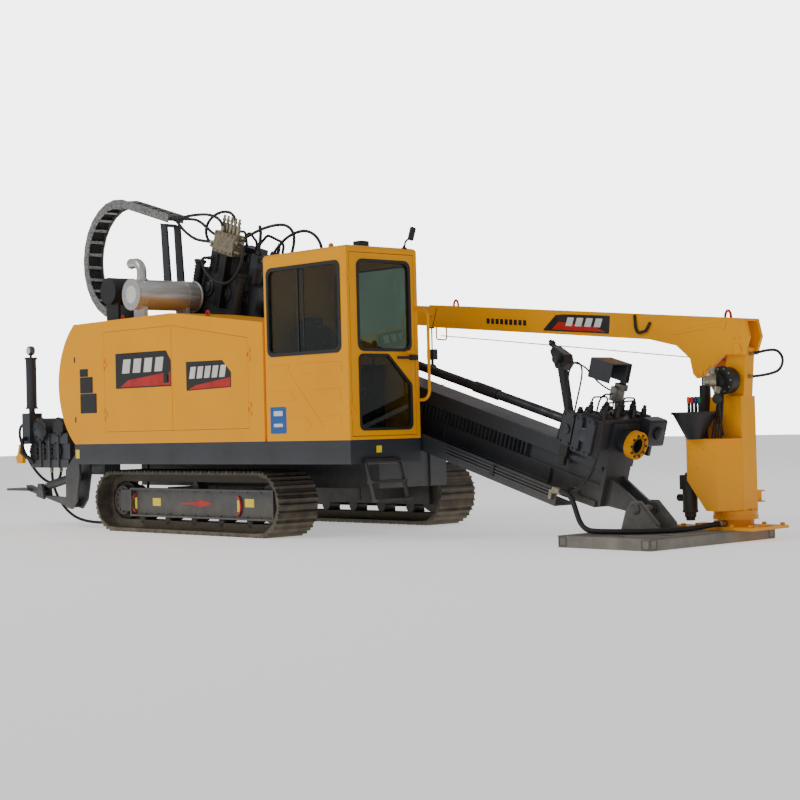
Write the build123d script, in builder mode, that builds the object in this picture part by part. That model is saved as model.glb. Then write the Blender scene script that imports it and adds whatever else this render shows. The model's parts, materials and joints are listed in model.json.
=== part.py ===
"""Crawler-mounted horizontal directional drill, modelled piece by piece.

Millimetres, +Z up. +X is the drilling direction, +Y is the far side, away from the cab.
The origin lies on the ground, under the anchor plate, on the drilling centreline.
"""
import os
from math import cos, degrees, pi, radians, sin

from build123d import *

os.makedirs("parts", exist_ok=True)

# Clearances
seat_gap = 0.3          # between pieces that rest on each other or turn in each other
move_gap = 6.0          # between pieces that move past each other
pin_offset = 6.0        # from a door's face out to the pin of its hinges
knuckle_radius = pin_offset - seat_gap

# Chassis and deck
deck_top = 892.0
skirt_height = 210.0
half_width = 1262.0     # outer face of deck, hood, cab and tracks
deck_back = -6811.0
cab_front = -2400.0
far_deck_front = -3600.0
deck_wall = 16.0
rail_outer = 430.0      # the two long rails of the chassis, measured from the centreline
rail_inner = 270.0
rail_bottom = 430.0
rail_front = -2960.0

# Cab
cab_length = 1185.0
cab_width = 837.0
cab_height = 1700.0
cab_wall = 50.0
cab_round = 45.0
sill_height = 785.0     # window sill above the deck
window_top = 1555.0
window_round = 60.0
glass_thickness = 6.0

# Engine hood
hood_inner = 462.0      # distance of the hood's inner wall from the centreline
hood_wall = 40.0
hood_bulge = 299.0      # how far the tail bulges behind the deck
hood_tail_top = 1256.0  # heights above the deck
hood_bulge_height = 634.0
hood_peak = 1269.0
hood_peak_x = -5035.0
hood_front_top = 1094.0
door_bottom = 120.0

# Crawlers
shoe_width = 470.0
track_top = 620.0       # height over the grousers
track_back = -6450.0
track_front = -3400.0
shoe_pitch = 135.0
grouser = 26.0
shoe_plate = 14.0
link_height = 76.0
link_width = 170.0
frame_bottom = 205.0
frame_top = 443.0

# Mast: its own frame has u along the drilling direction, y across and w upwards from the rod's axis
mast_tilt = 16.5
ring_x = -243.5         # front face of the guide ring, on the rod's axis
ring_z = 788.8
mast_back = -6420.0
mast_front = -195.0
mast_top_w = -140.0
mast_bottom_w = -620.0
rail_half = 170.0
mast_half = 150.0
mast_wall = 16.0
rack_top_w = -270.0
rack_bottom_w = -390.0
rack_pitch = 50.0
rack_tooth = 24.0
rack_back = -6000.0
rack_front = -1050.0

# Rod and spindle
rod_radius = 41.5
joint_radius = 50.0
rod_tip = -500.0
rod_back = -4800.0
rod_length = 3000.0

# Carriage and head
carriage_back = -6200.0
carriage_front = -4970.0
drive_radius = 62.0     # thrust drives at the carriage's sides

# Energy chain
chain_inner_y = -188.0
chain_outer_y = -396.0
chain_height = 90.0
chain_radius = 664.0    # outside of the bend
chain_centre_u = -7331.0
chain_centre_w = 48.0
chain_end_u = -6473.0
chain_fixed_u = -4670.0
chain_pitch = 150.0
chain_plate = 12.0
tray_outer = -405.0

# Vises
vise_half = 350.0
vise_bore = 65.0
ring_bore = 64.0
ring_outer = 118.0
front_vise_back = -385.0
front_vise_front = -153.0
break_vise_back = -553.0
break_vise_front = -415.0
vise_floor_w = -225.0

# Anchor plate
plate_back = -470.0
plate_front = 470.0
plate_near = -760.0
plate_far = 860.0
plate_height = 95.0
plate_pin_x = -190.0
plate_pin_z = 280.0
plate_pin_radius = 28.0
ear_inner = 100.0
ear_thickness = 22.0

# Crane
slew_x = 300.0
slew_y = 560.0
boom_half = 100.0
boom_depth = 215.0
boom_wall = 12.0
boom_rise = 5.5         # slope of the boom at rest, degrees
luff_x = 430.0
luff_z = 1570.0
boom_under = 30.0       # underside of the boom above its pivot
boom_length = 3640.0
eye_l = 385.0           # lower end of the boom's gusset, along and below the boom
eye_w = -227.0
luff_base_x = 20.0
luff_base_z = 640.0

# Mast pivot and lift cylinders
pivot_x = -3050.0
pivot_z = 911.0
pivot_pin = 30.0
lift_base_x = -3750.0
lift_base_z = 520.0
lift_eye_x = -4724.0
lift_eye_z = 1396.0
lift_y = 100.0

# Stabilizers
stab_y = 1150.0
stab_pivot_x = -7010.0
stab_pivot_z = 266.0
stab_end_x = -7900.0
stab_end_z = 450.0
stab_base_x = -7000.0
stab_base_z = 545.0
stab_eye_x = -7620.0
stab_eye_z = 430.0

tilt = radians(mast_tilt)
mast = Plane(
    origin=(ring_x, 0, ring_z),
    x_dir=(cos(tilt), 0, -sin(tilt)),
    z_dir=(sin(tilt), 0, cos(tilt)),
)
rise = radians(boom_rise)
boom_frame = Plane(
    origin=(luff_x, slew_y, luff_z),
    x_dir=(-cos(rise), 0, sin(rise)),
    z_dir=(sin(rise), 0, cos(rise)),
)


def side_plane(y):
    """Plane of the machine's side at y: its own x and y are the machine's X and Z."""
    return Plane(origin=(0, y, 0), x_dir=(1, 0, 0), z_dir=(0, -1, 0))


def end_plane(x):
    """Plane across the machine at x: its own x and y are the machine's Y and Z."""
    return Plane(origin=(x, 0, 0), x_dir=(0, 1, 0), z_dir=(1, 0, 0))


def along(frame, y):
    """Plane of a tilted frame's side at y: its own x and y are the frame's x and z."""
    origin = frame.from_local_coords((0, y, 0))
    return Plane(origin=origin, x_dir=frame.x_dir, z_dir=-frame.y_dir)


def across(frame, u):
    """Plane across a tilted frame at u: its own x and y are the frame's y and z."""
    origin = frame.from_local_coords((u, 0, 0))
    return Plane(origin=origin, x_dir=frame.y_dir, z_dir=frame.x_dir)


def in_mast(x, z):
    """A point of the machine's side view in the mast's own frame."""
    u = (x - ring_x) * cos(tilt) - (z - ring_z) * sin(tilt)
    w = (x - ring_x) * sin(tilt) + (z - ring_z) * cos(tilt)
    return u, w


def slab(x0, x1, y0, y1, z0, z1, mode=Mode.ADD):
    """Box between two corners, in the frame of the part that is being built."""
    y0, y1 = sorted((y0, y1))
    with Locations(((x0 + x1) / 2, (y0 + y1) / 2, (z0 + z1) / 2)):
        Box(x1 - x0, y1 - y0, z1 - z0, mode=mode)


def plate(points, plane, thickness, mode=Mode.ADD):
    """Flat piece with a straight-sided outline, extruded along the plane's normal."""
    with BuildSketch(plane) as outline:
        with BuildLine():
            Polyline(*points, close=True)
        make_face()
    extrude(outline.sketch, amount=thickness, mode=mode)


def disc(plane, radius, length, bore=0.0, mode=Mode.ADD):
    """Round piece on a plane, with a bore if one is given."""
    with BuildSketch(plane) as outline:
        Circle(radius)
        if bore:
            Circle(bore, mode=Mode.SUBTRACT)
    extrude(outline.sketch, amount=length, mode=mode)


def bar(start, end, radius, mode=Mode.ADD):
    """Round bar between two points of the machine's frame."""
    direction = Vector(*end) - Vector(*start)
    disc(Plane(origin=start, z_dir=direction), radius, direction.length, mode=mode)


def window(plane, x0, x1, z0, z1, depth, mode):
    """Opening or pane with rounded corners on a plane."""
    with BuildSketch(plane) as outline:
        with Locations(((x0 + x1) / 2, (z0 + z1) / 2)):
            RectangleRounded(x1 - x0, z1 - z0, window_round)
    extrude(outline.sketch, amount=depth, mode=mode)


def knuckle(pin, reach, inward, z0, z1):
    """Knuckle of a hinge round an upright pin. Its leaf runs along reach and bites into the face."""
    bar((*pin, z0), (*pin, z1), knuckle_radius)
    for start, end, depth in ((0, 10, knuckle_radius), (8, 40, pin_offset + 1)):
        x0, y0 = (p + r * start - n * 3 for p, r, n in zip(pin, reach, inward))
        x1, y1 = (p + r * end + n * depth for p, r, n in zip(pin, reach, inward))
        slab(min(x0, x1), max(x0, x1), y0, y1, z0, z1)


def shell_knuckles(pin, reach, inward, heights):
    """The two knuckles of each hinge that stay on the shell."""
    for z in heights:
        knuckle(pin, reach, inward, z, z + 40)
        knuckle(pin, reach, inward, z + 80 + 2 * seat_gap, z + 120)


def keep(builder, name):
    """Label a finished piece and write it as its own file."""
    builder.part.label = name
    export_step(builder.part, f"parts/{name}.step")


# Chassis: decks with their skirts, the two long rails, cross members, mast pivot and rear brackets
skirt_bottom = deck_top - skirt_height
cross_members = (
    # x centre, length, bottom, top
    (-6720.0, 180.0, rail_bottom, 880.0),
    (-5500.0, 160.0, rail_bottom, 780.0),
    (lift_base_x + 10, 150.0, rail_bottom, 472.0),
    (-3060.0, 160.0, rail_bottom, 780.0),
)
axle_beams = (-5560.0, -4120.0)
axle_top = 440.0
axle_bottom = 270.0
track_middle = half_width - shoe_width / 2
beam_half = 120.0

with BuildPart() as chassis:
    for front, side in ((cab_front, -1), (far_deck_front, 1)):
        near, far = sorted((side * half_width, side * rail_outer))
        slab(deck_back, front, near, far, skirt_bottom, deck_top)
        slab(
            deck_back + deck_wall, front - deck_wall, near + deck_wall, far - deck_wall,
            skirt_bottom - 1, deck_top - deck_wall, Mode.SUBTRACT,
        )
    for side in (-1, 1):
        slab(deck_back, rail_front, side * rail_inner, side * rail_outer, rail_bottom, deck_top)
        for x in axle_beams:
            slab(x - 100, x + 100, side * rail_inner, side * rail_outer, axle_bottom, rail_bottom + 1)
        # Ear of the mast's pivot, inside the rail
        slab(
            pivot_x - 90, pivot_x + 90, side * (rail_inner - 50), side * (rail_inner + 1),
            rail_bottom, pivot_z - 30,
        )
        bar((pivot_x, side * (rail_inner - 50), pivot_z), (pivot_x, side * rail_inner, pivot_z), 45)
        slab(
            pivot_x - 45, pivot_x + 45, side * (rail_inner - 50), side * rail_inner,
            pivot_z - 31, pivot_z,
        )
    for x, length, bottom, top in cross_members:
        slab(x - length / 2, x + length / 2, -rail_inner, rail_inner, bottom, top)
    beam_reach = track_middle - beam_half
    for x in axle_beams:
        slab(x - 90, x + 90, -beam_reach, beam_reach, axle_bottom, axle_top)
    bar((pivot_x, -rail_inner, pivot_z), (pivot_x, rail_inner, pivot_z), pivot_pin)
    # Feet of the lift cylinders
    for y in (-lift_y, lift_y):
        for offset in (-80, 56):
            slab(
                lift_base_x - 50, lift_base_x + 50, y + offset, y + offset + 24,
                rail_bottom, lift_base_z + 45,
            )
        bar((lift_base_x, y - 60, lift_base_z), (lift_base_x, y + 60, lift_base_z), 18)
    # Rear brackets that carry the stabilizers
    for side in (-1, 1):
        for offset in (-76, 52):
            plate(
                (
                    (deck_back + 20, 800), (deck_back - 60, 780), (-7060, 620), (-7070, 225),
                    (-6960, 205), (-6860, 300), (deck_back + 20, 560),
                ),
                side_plane(side * stab_y + offset + 24), 24,
            )
        for x, z in ((stab_pivot_x, stab_pivot_z), (stab_base_x, stab_base_z)):
            bar((x, side * stab_y - 60, z), (x, side * stab_y + 60, z), 18)
keep(chassis, "chassis")


# Crawlers: shoes and links follow a loop of two straights and two half circles
wheel_radius = track_top / 2
loop_back = track_back + wheel_radius
loop_front = track_front - wheel_radius
pitch_radius = wheel_radius - grouser - shoe_plate - link_height / 2
straight = loop_front - loop_back
loop_length = 2 * straight + 2 * pi * pitch_radius
shoe_count = round(loop_length / shoe_pitch)
pitch = loop_length / shoe_count
# Outline of one shoe: place along the shoe as a share of its pitch, and height over its plate
shoe_outline = (
    (-0.49, 0.0), (-0.40, 1.0), (-0.28, 0.0), (0.0, 1.0), (0.28, 0.0), (0.40, 1.0), (0.49, 0.0),
)


def loop_place(s):
    """Point of the loop's pitch line at the distance s along it, with its outward direction."""
    s = s % loop_length
    half_turn = pi * pitch_radius
    if s < straight:
        return loop_back + s, wheel_radius + pitch_radius, pi / 2
    s -= straight
    if s < half_turn:
        angle = pi / 2 - s / pitch_radius
        return loop_front + pitch_radius * cos(angle), wheel_radius + pitch_radius * sin(angle), angle
    s -= half_turn
    if s < straight:
        return loop_front - s, wheel_radius - pitch_radius, -pi / 2
    angle = -pi / 2 - (s - straight) / pitch_radius
    return loop_back + pitch_radius * cos(angle), wheel_radius + pitch_radius * sin(angle), angle


def loop_point(middle, offset, height):
    """Point at an offset along and a height over the pitch line, carried by a stiff shoe."""
    x, z, angle = loop_place(middle)
    return (
        x + height * cos(angle) + offset * sin(angle),
        z + height * sin(angle) - offset * cos(angle),
    )


plate_foot = link_height / 2
tip_points = [
    loop_point((k + 0.5) * pitch, share * pitch, plate_foot + shoe_plate + part * grouser)
    for k in range(shoe_count)
    for share, part in shoe_outline
]
under_points = [loop_point(k * pitch, 0, plate_foot) for k in range(shoe_count)]
link_points = [loop_point(k * pitch, 0, plate_foot + 2) for k in range(shoe_count)]
inner_points = [loop_point(k * pitch, 0, -link_height / 2) for k in range(shoe_count)]

wheel_fit = (pitch_radius - link_height / 2) * cos(pitch / 2 / pitch_radius) - seat_gap
rollers_x = [loop_back + 330 + k * (straight - 660) / 4 for k in range(5)]
roller_radius = 62.0
roller_z = wheel_radius - pitch_radius + link_height / 2 + seat_gap + roller_radius
carrier_radius = 50.0
carrier_z = wheel_radius + pitch_radius - link_height / 2 - seat_gap - carrier_radius
hub_radius = 148.0
hub_face = half_width - 140.0
guard_back = -5835.0
guard_front = -3518.0

for side, word in ((-1, "near"), (1, "far")):
    middle = side * track_middle
    with BuildPart() as track:
        plate(tip_points, side_plane(middle + shoe_width / 2), shoe_width)
        plate(under_points, side_plane(middle + shoe_width / 2 + 1), shoe_width + 2, Mode.SUBTRACT)
        plate(link_points, side_plane(middle + link_width / 2), link_width)
        plate(inner_points, side_plane(middle + link_width), 2 * link_width, Mode.SUBTRACT)
        # Nothing reaches below the ground
        slab(
            track_back - 50, track_front + 50, middle - shoe_width, middle + shoe_width, -60, 0,
            Mode.SUBTRACT,
        )
    keep(track, f"track_{word}")

    outer_face = side * (half_width - 20)
    guard_in = side * (track_middle + beam_half - 1)
    with BuildPart() as track_frame:
        slab(
            loop_back, loop_front, middle - beam_half, middle + beam_half,
            frame_bottom, frame_top - 25,
        )
        # Guard plate with its flanges on the outside
        slab(guard_back, guard_front, guard_in, outer_face, frame_top - 18, frame_top)
        slab(guard_back, guard_front, guard_in, outer_face, 160, 178)
        slab(guard_back, guard_front, outer_face - side * 60, outer_face - side * 40, 165, frame_top - 5)
        for x in (guard_back, guard_front - 20):
            slab(x, x + 20, guard_in, outer_face, 165, frame_top - 5)
        for x in rollers_x:
            bar((x, middle - 75, roller_z), (x, middle + 75, roller_z), roller_radius)
        carrier_x = loop_back + straight / 2
        bar((carrier_x, middle - 60, carrier_z), (carrier_x, middle + 60, carrier_z), carrier_radius)
        slab(carrier_x - 25, carrier_x + 25, middle - 40, middle + 40, frame_top - 40, carrier_z)
        # Idler in front, sprocket and final drive behind
        for x, half in ((loop_front, 70), (loop_back, 40)):
            bar((x, middle - half, wheel_radius), (x, middle + half, wheel_radius), wheel_fit)
        hub_near, hub_far = sorted((side * (track_middle - 130), side * hub_face))
        bar((loop_back, hub_near, wheel_radius), (loop_back, hub_far, wheel_radius), hub_radius)
    keep(track_frame, f"track_frame_{word}")


# Engine hood: a shell with its tail bulging back, open at the bottom and cut for two doors
hood_front = cab_front - cab_length - 6
hood_top_z = deck_top + hood_peak
door_rows = (
    # name, back edge, front edge, top at the back, top at the front
    ("hood_door_rear", -6220.0, -5030.0, 1144.0, 1147.0),
    ("hood_door_front", -5030.0, -3816.0, 1147.0, 964.0),
)
hood_hinges = (1130.0, 1640.0)      # heights of the doors' hinges


def hood_block(inset, y, depth, mode=Mode.ADD):
    """The hood's side view, moved in by a wall, extruded from y towards the near side."""
    lift = 0 if inset == 0 else -1
    foot = (deck_back + 5 + inset, deck_top + lift)
    tail = (deck_back - hood_bulge + 5 + inset, deck_top + hood_bulge_height)
    shoulder = (deck_back - 60 + inset, deck_top + hood_tail_top - 75)
    crown = (deck_back + 25 + inset, deck_top + hood_tail_top - inset)
    peak = (hood_peak_x, deck_top + hood_peak - inset)
    front = (hood_front - inset, deck_top + hood_front_top - inset)
    front_foot = (hood_front - inset, deck_top + lift)
    with BuildSketch(side_plane(y)) as outline:
        with BuildLine():
            ThreePointArc(foot, tail, shoulder)
            Polyline(shoulder, crown, peak, front, front_foot, foot)
        make_face()
    extrude(outline.sketch, amount=depth, mode=mode)


def door_outline(back, front, top_back, top_front, gap):
    """Door or door opening in the machine's side view, with a gap taken off all round."""
    return (
        (back + gap, deck_top + door_bottom + gap), (front - gap, deck_top + door_bottom + gap),
        (front - gap, deck_top + top_front - gap), (back + gap, deck_top + top_back - gap),
    )


with BuildPart() as hood:
    hood_block(0, -hood_inner, half_width - hood_inner)
    hood_block(hood_wall, -hood_inner - hood_wall, half_width - hood_inner - 2 * hood_wall, Mode.SUBTRACT)
    for _, back, front, top_back, top_front in door_rows:
        plate(
            door_outline(back, front, top_back, top_front, 0),
            side_plane(-half_width + hood_wall + 1), hood_wall + 2, Mode.SUBTRACT,
        )
    # Post between the two doors
    slab(-5060, -5000, -half_width + hood_wall + 4, -half_width + hood_wall + 60, deck_top, hood_top_z - 20)
    for name, back, front, _, _ in door_rows:
        edge, swing = (back, 1) if name == "hood_door_rear" else (front, -1)
        pin = (edge + swing * move_gap / 2, -half_width - pin_offset)
        shell_knuckles(pin, (-swing, 0), (0, 1), hood_hinges)
keep(hood, "hood")

for name, back, front, top_back, top_front in door_rows:
    edge, swing = (back, 1) if name == "hood_door_rear" else (front, -1)
    pin = (edge + swing * move_gap / 2, -half_width - pin_offset)
    with BuildPart() as hood_door:
        plate(
            door_outline(back, front, top_back, top_front, move_gap / 2),
            side_plane(-half_width + hood_wall), hood_wall,
        )
        for z in hood_hinges:
            knuckle(pin, (swing, 0), (0, 1), z + 40 + seat_gap, z + 80 + seat_gap)
    keep(hood_door, name)

with BuildPart() as engine:
    slab(-6000, -4300, -1130, -600, deck_top, deck_top + 900)
keep(engine, "engine")

# Muffler across the hood, with its saddles and its elbow turned to the rear
muffler_x = -5800.0
muffler_z = 2400.0
muffler_radius = 155.0
muffler_near = -1190.0
muffler_far = -415.0
elbow_y = -1060.0
with BuildPart() as muffler:
    bar((muffler_x, muffler_near, muffler_z), (muffler_x, muffler_far, muffler_z), muffler_radius)
    for y in (-1080, -560):
        slab(muffler_x - 90, muffler_x + 90, y - 25, y + 25, hood_top_z - 4.7, muffler_z - 80)
    with BuildLine() as elbow_path:
        FilletPolyline(
            (muffler_x, elbow_y, muffler_z), (muffler_x, elbow_y, muffler_z + 330),
            (muffler_x - 190, elbow_y, muffler_z + 330), radius=100,
        )
    with BuildSketch(Plane(origin=(muffler_x, elbow_y, muffler_z), z_dir=(0, 0, 1))):
        Circle(50)
    sweep(path=elbow_path.line)
keep(muffler, "muffler")

with BuildPart() as air_cleaner:
    bar((-6290, -1150, 2470), (-6290, -860, 2470), 140)
    for y in (-1100, -930):
        slab(-6400, -6180, y, y + 30, hood_top_z - 8, 2420)
    slab(-6340, -6240, -900, -780, hood_top_z - 8, 2520)
keep(air_cleaner, "air_cleaner")

# Fuel and oil tanks on the far deck
with BuildPart() as fluid_tanks:
    for x0, x1, height in ((-6700, -5420, 600), (-5360, -3800, 520)):
        slab(x0, x1, rail_outer + 60, half_width - 20, deck_top, deck_top + height)
        bar((x0 + 250, 850, deck_top + height - 1), (x0 + 250, 850, deck_top + height + 60), 70)
keep(fluid_tanks, "fluid_tanks")


# Cab: hollow, rounded, with windows on both sides and a door opening in its front face
cab_back = cab_front - cab_length
cab_near = -half_width
cab_far = -half_width + cab_width
cab_top = deck_top + cab_height
window_back = cab_back + 86
window_front = cab_front - 107
sill_z = deck_top + sill_height
head_z = deck_top + window_top
door_near = cab_near + 28
door_far = cab_far - 40
door_foot = deck_top + 28
door_head = cab_top - 60
door_skin = 40.0
door_pin = (cab_front + pin_offset, door_near + move_gap / 2)
door_hinges = (1080.0, 2240.0)      # heights of the door's hinges

with BuildPart() as cab_shell:
    slab(cab_back, cab_front, cab_near, cab_far, deck_top, cab_top)
    fillet(cab_shell.edges().filter_by(Axis.Z).group_by(Axis.X)[0], cab_round)
    fillet(cab_shell.faces().sort_by(Axis.Z)[-1].edges(), cab_round - 10)
    slab(
        cab_back + cab_wall, cab_front - cab_wall, cab_near + cab_wall, cab_far - cab_wall,
        deck_top + cab_wall, cab_top - cab_wall, Mode.SUBTRACT,
    )
    window(
        side_plane(cab_far + 1), window_back, window_front, sill_z, head_z,
        cab_width + 2, Mode.SUBTRACT,
    )
    slab(
        cab_front - cab_wall - 1, cab_front + 1, door_near, door_far, door_foot, door_head,
        Mode.SUBTRACT,
    )
    # Tube handrail beside the door
    rail_y = cab_far - 18
    rail_x = cab_front + 150
    rail_start = (cab_front - 20, rail_y, deck_top + 1150)
    with BuildLine() as rail_path:
        FilletPolyline(
            rail_start, (rail_x, rail_y, deck_top + 1150), (rail_x, rail_y, deck_top + 340),
            (cab_front - 20, rail_y, deck_top + 340), radius=90,
        )
    with BuildSketch(Plane(origin=rail_start, z_dir=(1, 0, 0))):
        Circle(14)
    sweep(path=rail_path.line)
    shell_knuckles(door_pin, (0, -1), (-1, 0), door_hinges)
keep(cab_shell, "cab_shell")

with BuildPart() as cab_glass:
    for y in (cab_near + 16 + glass_thickness, cab_far - 16):
        window(
            side_plane(y), window_back + seat_gap, window_front - seat_gap,
            sill_z + seat_gap, head_z - seat_gap, glass_thickness, Mode.ADD,
        )
keep(cab_glass, "cab_glass")

pane_near = door_near + 100
pane_far = door_far - 60
upper_foot = deck_top + 788
upper_head = deck_top + 1566
lower_foot = deck_top + 90
lower_head = deck_top + 748
with BuildPart() as cab_door:
    slab(
        cab_front - door_skin, cab_front, door_near + move_gap, door_far - move_gap,
        door_foot + move_gap, door_head - move_gap,
    )
    for z0, z1 in ((upper_foot, upper_head), (lower_foot, lower_head)):
        window(end_plane(cab_front - door_skin - 1), pane_near, pane_far, z0, z1, door_skin + 2, Mode.SUBTRACT)
    slab(cab_front - 1, cab_front + 30, pane_far - 60, pane_far + 30, lower_head + 8, upper_foot - 8)
    for z in door_hinges:
        knuckle(door_pin, (0, 1), (-1, 0), z + 40 + seat_gap, z + 80 + seat_gap)
keep(cab_door, "cab_door")

with BuildPart() as door_glass:
    for z0, z1 in ((upper_foot, upper_head), (lower_foot, lower_head)):
        window(
            end_plane(cab_front - 20), pane_near + seat_gap, pane_far - seat_gap,
            z0 + seat_gap, z1 - seat_gap, glass_thickness, Mode.ADD,
        )
keep(door_glass, "door_glass")

floor_z = deck_top + cab_wall
with BuildPart() as operator_seat:
    slab(-3260, -2900, -1010, -690, floor_z, floor_z + 300)
    slab(-3330, -2850, -1080, -620, floor_z + 299, floor_z + 430)
    plate(
        (
            (-3330, floor_z + 420), (-3190, floor_z + 420), (-3290, floor_z + 1080),
            (-3400, floor_z + 1080),
        ),
        side_plane(-640), 420,
    )
keep(operator_seat, "operator_seat")

with BuildPart() as console:
    for y0, y1 in ((-1200, -1095), (-605, -490)):
        slab(-3250, -2800, y0, y1, floor_z, floor_z + 620)
        middle = (y0 + y1) / 2
        bar((-2880, middle, floor_z + 619), (-2860, middle, floor_z + 760), 14)
keep(console, "console")

# Fold-down step under the door
step_near = -1130.0
step_far = -720.0
step_hinge_z = skirt_bottom + 20
step_x = cab_front + 26
with BuildPart() as step:
    for y in (step_near, step_far - 16):
        plate(
            (
                (step_x - 12, step_hinge_z + 18), (step_x + 12, step_hinge_z + 18),
                (step_x + 150, 345), (step_x + 100, 345),
            ),
            side_plane(y + 16), 16,
        )
    # Tube that turns on the hinge in front of the skirt
    hinge_z = step_hinge_z
    bar((step_x, step_near, hinge_z), (step_x, step_far, hinge_z), step_x - cab_front - seat_gap)
    for z, shift in ((350, 125), (510, 66)):
        slab(step_x + shift - 40, step_x + shift + 40, step_near, step_far, z, z + 26)
keep(step, "step")


# Mud pump behind the hood, with its air vessel and gauge
with BuildPart() as mud_pump:
    slab(-7900, -7120, -1130, -700, 640, 1020)
    slab(-7480, deck_back - seat_gap, -900, -700, 560, 700)
    bar((-7620, -1180, 1060), (-7620, -660, 1060), 120)
    bar((-7300, -1150, 1080), (-7300, -680, 1080), 95)
    slab(-8010, -7850, -1180, -1020, 900, 1240)
    bar((-7930, -1100, 1230), (-7930, -1100, 1300), 34)
    for z0, z1, radius in ((1290, 1306, 66), (1300, 1840, 58), (1836, 1856, 66), (1850, 1900, 14)):
        bar((-7930, -1100, z0), (-7930, -1100, z1), radius)
    bar((-7930, -1128, 1932), (-7930, -1072, 1932), 40)
keep(mud_pump, "mud_pump")


# Mast: a stepped box beam, open at the back, with carriage rails, a rack bay and a deep foot
section = (
    # half width, height
    (rail_half, mast_top_w), (rail_half, mast_top_w - 26), (mast_half + 8, mast_top_w - 26),
    (mast_half + 8, rack_top_w), (mast_half - 30, rack_top_w), (mast_half - 30, rack_bottom_w),
    (mast_half, rack_bottom_w), (mast_half, mast_bottom_w + 90),
    (rail_half, mast_bottom_w + 90), (rail_half, mast_bottom_w),
)
core_half = mast_half - 30 - mast_wall
lug_outer = rail_inner - 50 - move_gap
pivot_u, pivot_w = in_mast(pivot_x, pivot_z)
lift_u, lift_w = in_mast(lift_eye_x, lift_eye_z)
pin_u, pin_w = in_mast(plate_pin_x, plate_pin_z)
with BuildPart(mast) as mast_beam:
    plate([*section, *[(-y, w) for y, w in reversed(section)]], across(mast, mast_back), mast_front - mast_back)
    slab(
        mast_back - 1, mast_front - 40, -core_half, core_half,
        mast_bottom_w + mast_wall, mast_top_w - mast_wall, Mode.SUBTRACT,
    )
    # The top is cut down under the vises, and the foot rises towards the front
    slab(-640, 0, -rail_half - 1, rail_half + 1, vise_floor_w, 0, Mode.SUBTRACT)
    slab(-640, mast_front, -rail_half, rail_half, vise_floor_w - 30, vise_floor_w)
    plate(
        (
            (-1250, mast_bottom_w - 1), (mast_front + 1, mast_bottom_w + 40),
            (mast_front + 1, mast_bottom_w - 60), (-1250, mast_bottom_w - 60),
        ),
        along(mast, rail_half + 1), 2 * rail_half + 2, Mode.SUBTRACT,
    )
    slab(mast_front - 1, mast_front + 40, -150, 150, -560, vise_floor_w)
    # Hinge lugs in front, on the anchor plate's pin
    for y in (-94, 66):
        plate(
            (
                (mast_front + 20, -300), (pin_u - 30, pin_w + 50), (pin_u + 25, pin_w + 50),
                (pin_u + 50, pin_w + 10), (pin_u + 50, pin_w - 30), (pin_u + 20, pin_w - 50),
                (pin_u - 60, pin_w - 50), (mast_front + 20, -555),
            ),
            along(mast, y + 28), 28,
        )
    for side in (-1, 1):
        # Lugs of the mast pivot, then lugs of the lift cylinders
        y0, y1 = sorted((side * (lug_outer - 55), side * lug_outer))
        plate(
            (
                (pivot_u - 130, mast_bottom_w + 30), (pivot_u - 45, pivot_w - 45),
                (pivot_u + 45, pivot_w - 45), (pivot_u + 130, mast_bottom_w + 30),
            ),
            along(mast, y1), y1 - y0,
        )
        for offset in (-60, 36):
            plate(
                (
                    (lift_u - 90, mast_bottom_w + 5), (lift_u - 40, lift_w - 40),
                    (lift_u + 40, lift_w - 40), (lift_u + 90, mast_bottom_w + 5),
                ),
                along(mast, side * lift_y + offset + 24), 24,
            )
    # Tray of the energy chain, beside the foot
    tray_floor = chain_centre_w - chain_radius - seat_gap
    slab(-6700, -420, tray_outer, -mast_half + 1, tray_floor - 12, tray_floor)
    slab(-6700, -420, tray_outer, tray_outer + 6, tray_floor - 12, -478)
    bar(
        (plate_pin_x, -300, plate_pin_z), (plate_pin_x, 300, plate_pin_z),
        plate_pin_radius + seat_gap, Mode.SUBTRACT,
    )
    bar((pivot_x, -260, pivot_z), (pivot_x, 260, pivot_z), pivot_pin + seat_gap, Mode.SUBTRACT)
keep(mast_beam, "mast_beam")

# Racks with teeth facing outwards, one on each side of the mast
rack_foot = mast_half - 30 + seat_gap
rack_line = rack_foot + 16
teeth = int((rack_front - rack_back) / rack_pitch)
tooth = (
    # place along one pitch, height over the rack's body as a share of the tooth
    (0.14, 0.0), (0.34, 1.0), (0.66, 1.0), (0.86, 0.0),
)
with BuildPart(mast) as mast_racks:
    for side in (-1, 1):
        outline = [(rack_back, side * rack_foot)]
        outline += [
            (rack_back + (k + place) * rack_pitch, side * (rack_line + share * rack_tooth))
            for k in range(teeth)
            for place, share in tooth
        ]
        outline += [(rack_back + teeth * rack_pitch, side * rack_foot)]
        plate(outline, mast.offset(rack_bottom_w + seat_gap), rack_top_w - rack_bottom_w - 2 * seat_gap)
keep(mast_racks, "mast_racks")

# Fixed front vise with its side cylinders, and the bolted guide ring
collar = 96.0
with BuildPart(mast) as front_vise:
    slab(front_vise_back, front_vise_front, -170, 170, vise_floor_w + 0.3, 150)
    for side in (-1, 1):
        slab(front_vise_back + 20, front_vise_front - 30, side * 169, side * vise_half, -75, 165)
        slab(front_vise_back, front_vise_front, side * 340, side * (vise_half + 24), -140, 180)
    slab(front_vise_back, front_vise_front - 20, -vise_half, vise_half, 149, 180)
    disc(across(mast, front_vise_front - 1), collar, 136)
    disc(across(mast, front_vise_back - 1), vise_bore, 500, mode=Mode.SUBTRACT)
keep(front_vise, "front_vise")

with BuildPart(mast) as guide_ring:
    disc(across(mast, -60), ring_outer, 60, ring_bore)
    disc(across(mast, -61), collar + seat_gap, 61 - 16.5, mode=Mode.SUBTRACT)
keep(guide_ring, "guide_ring")

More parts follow.
